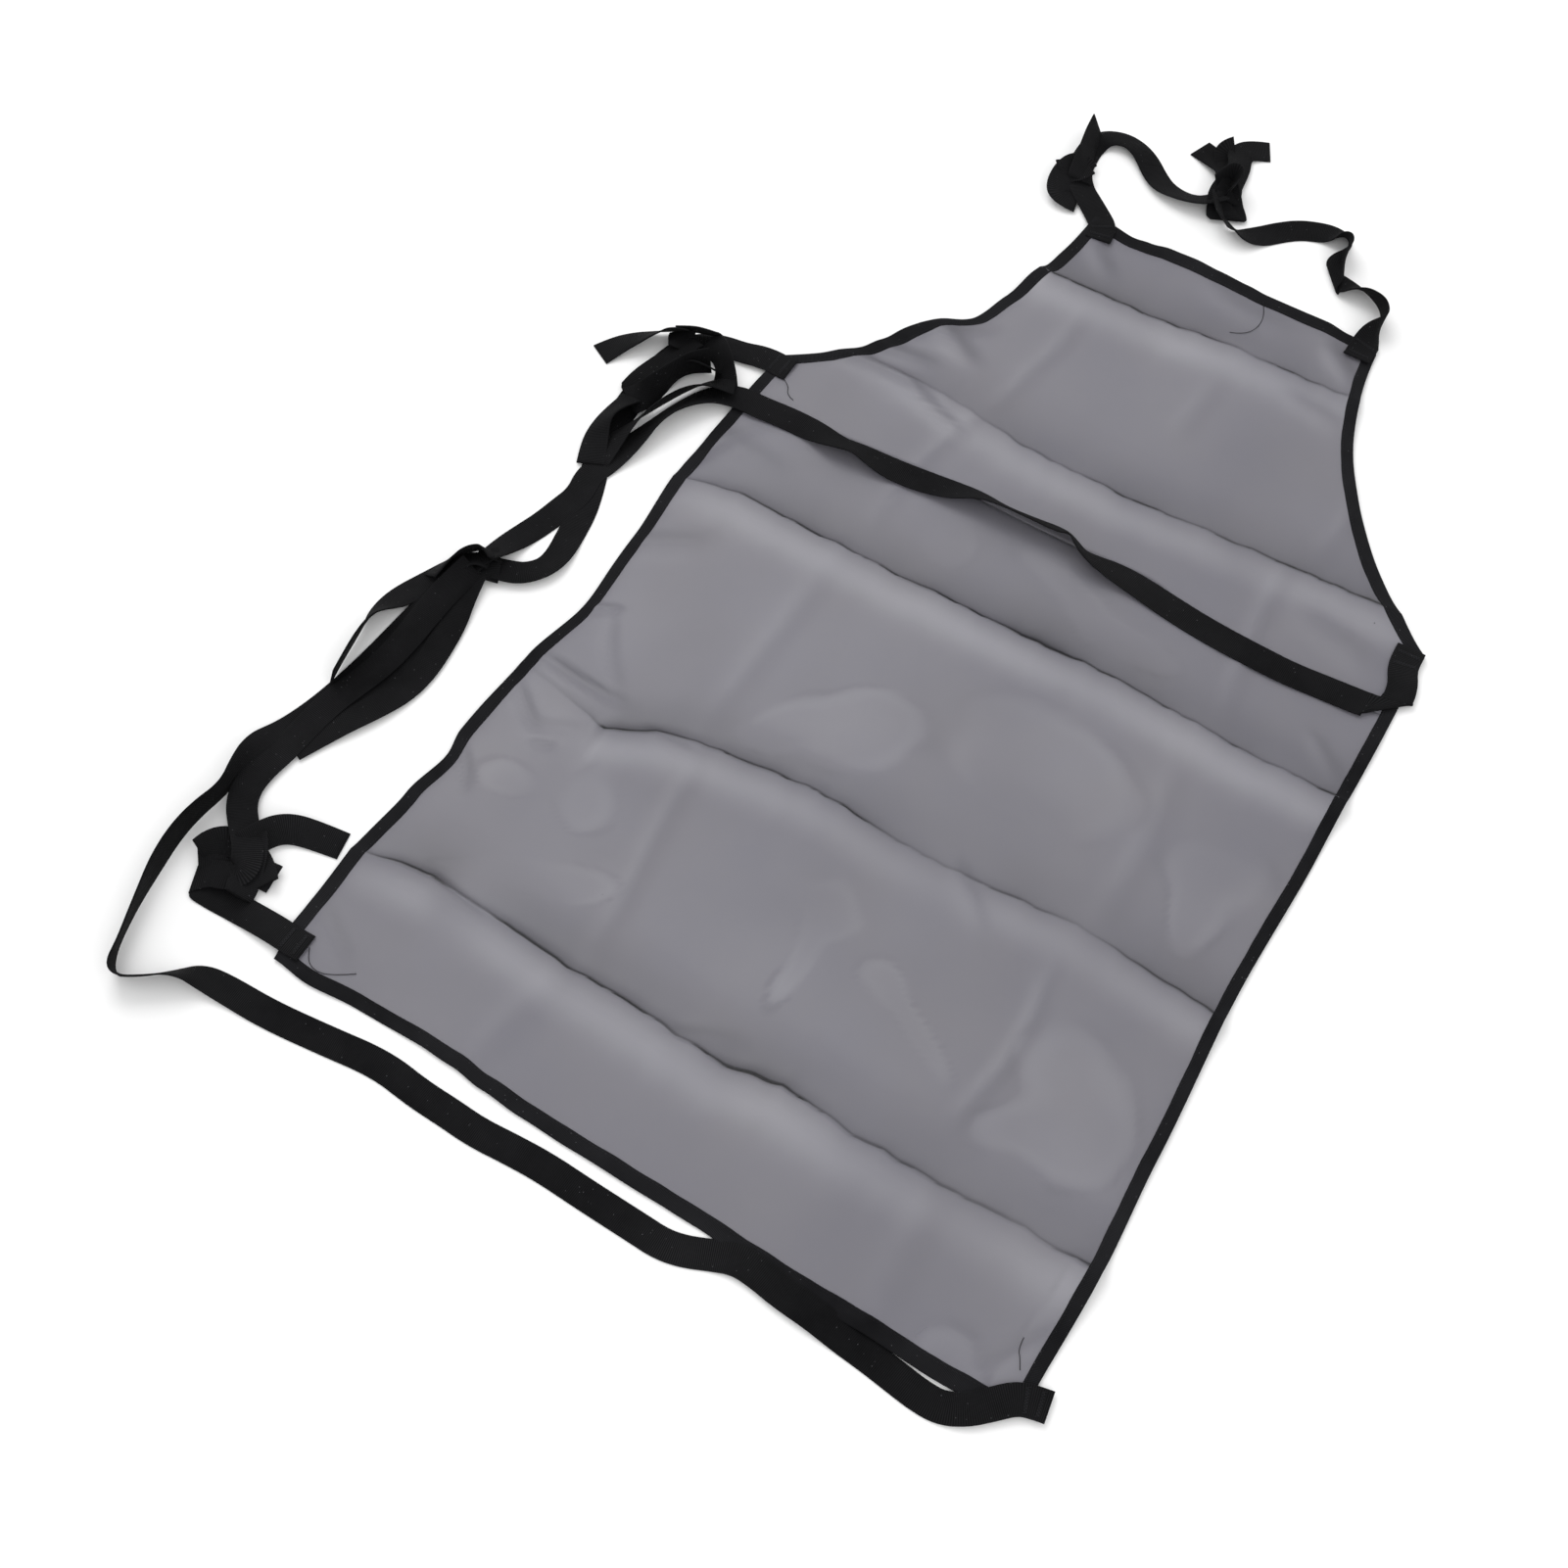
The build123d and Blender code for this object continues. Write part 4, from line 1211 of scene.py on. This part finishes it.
# %% Thread tails
def thread_tail(name, route, thick=0.0006):
    """A loose sewing thread that lies on the film."""
    values = [(lay(x, v).x, lay(x, v).y, max(film_height(x, v), 0.0) + FILM / 2 + thick / 2 + rise)
              for x, v, rise in route]
    path = spline_samples(values, 8)
    points, sides = [], 6
    for k, spot in enumerate(path):
        ahead = (path[min(k + 1, len(path) - 1)] - path[max(k - 1, 0)]).normalized()
        side = ahead.cross(Vector((0, 0, 1))).normalized()
        up = side.cross(ahead)
        for j in range(sides):
            turn = 2 * math.pi * j / sides
            points.append(spot + (side * math.cos(turn) + up * math.sin(turn)) * (thick / 2))
    return recalculated(mesh_piece(name, points, tube_faces(len(path), sides), THREAD))


tails = {
    "hem_left_tail": (SKIRT, [(-0.312, 0.022, 0.001), (-0.310, 0.014, 0.0005), (-0.300, 0.010, 0.0003),
                              (-0.286, 0.013, 0.0003), (-0.270, 0.022, 0.0003)]),
    "hem_right_tail": (SKIRT, [(0.318, 0.024, 0.001), (0.314, 0.031, 0.001), (0.309, 0.036, 0.0008),
                               (0.308, 0.044, 0.0005)]),
    "waist_left_tail": (WAIST, [(-0.296, 0.692, 0.001), (-0.288, 0.688, 0.0005), (-0.284, 0.678, 0.0003),
                                (-0.276, 0.676, 0.0003)]),
    "bib_tail": (BIB, [(0.030, 0.992, 0.001), (0.038, 0.982, 0.0006), (0.040, 0.966, 0.0004),
                       (0.032, 0.953, 0.0003), (0.020, 0.949, 0.0003)])}
tail_pieces = {name: (thread_tail(name, route), body) for name, (body, route) in tails.items()}

# %% [markdown]
# ## Which body carries what
# The film folds at two creases; the pieces that cross one (both film sheets, the side and armhole
# tapes and the stitch rows) only have their transforms baked. The other pieces ride on one body each,
# except the ties: they leave the apron where they are sewn, the hem ties ride on the skirt, and the
# neck and waist ties only have their transforms baked.


def bend_across(piece):
    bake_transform(piece)


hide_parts("film_skirt", "film_waist")
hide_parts("film_bib")
bend_across(film_lower)
bend_across(film_upper)
for side_name in ("left", "right"):
    side_tape, armhole_tape = bindings[f"side_{side_name}"], bindings[f"armhole_{side_name}"]
    bend_across(side_tape)
    bend_across(armhole_tape)
    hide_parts(f"skirt_side_binding_{side_name}", f"waist_side_binding_{side_name}")
    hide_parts(f"armhole_end_binding_{side_name}", f"armhole_binding_{side_name}")
for node, body in (("hem_binding", SKIRT), ("bib_binding", BIB)):
    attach(bindings[node], body)
    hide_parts(node)

# %% Stitches, tacks, tails and knots
bend_across(lower_stitches)
bend_across(upper_stitches)
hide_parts("skirt_seam", "waist_seam")
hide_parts("bib_seam")
for node, body in (("neck_bar_tacks", BIB), ("waist_bar_tacks", WAIST), ("hem_bar_tacks", SKIRT)):
    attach(tacks[node], body)
    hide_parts(node)
for tail, body in tail_pieces.values():
    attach(tail, body)

KNOT_BODY = {"neck": NECK_LOOP, "waist": WAIST_TIES, "hem": SKIRT, "bundle": SKIRT}
for knot_name, knot in knots.items():
    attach(knot, KNOT_BODY[knot_name.split("_")[0]])
    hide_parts(knot_name)

for tie_name, (tie, tie_path) in ties.items():
    if "neck" in tie_name:
        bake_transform(tie)
    elif "waist" in tie_name:
        side = -1 if "left" in tie_name else 1
        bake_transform(tie)
    else:
        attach(tie, SKIRT)
    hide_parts(tie_name, tie_name.replace("_tie_", "_tie_end_"))
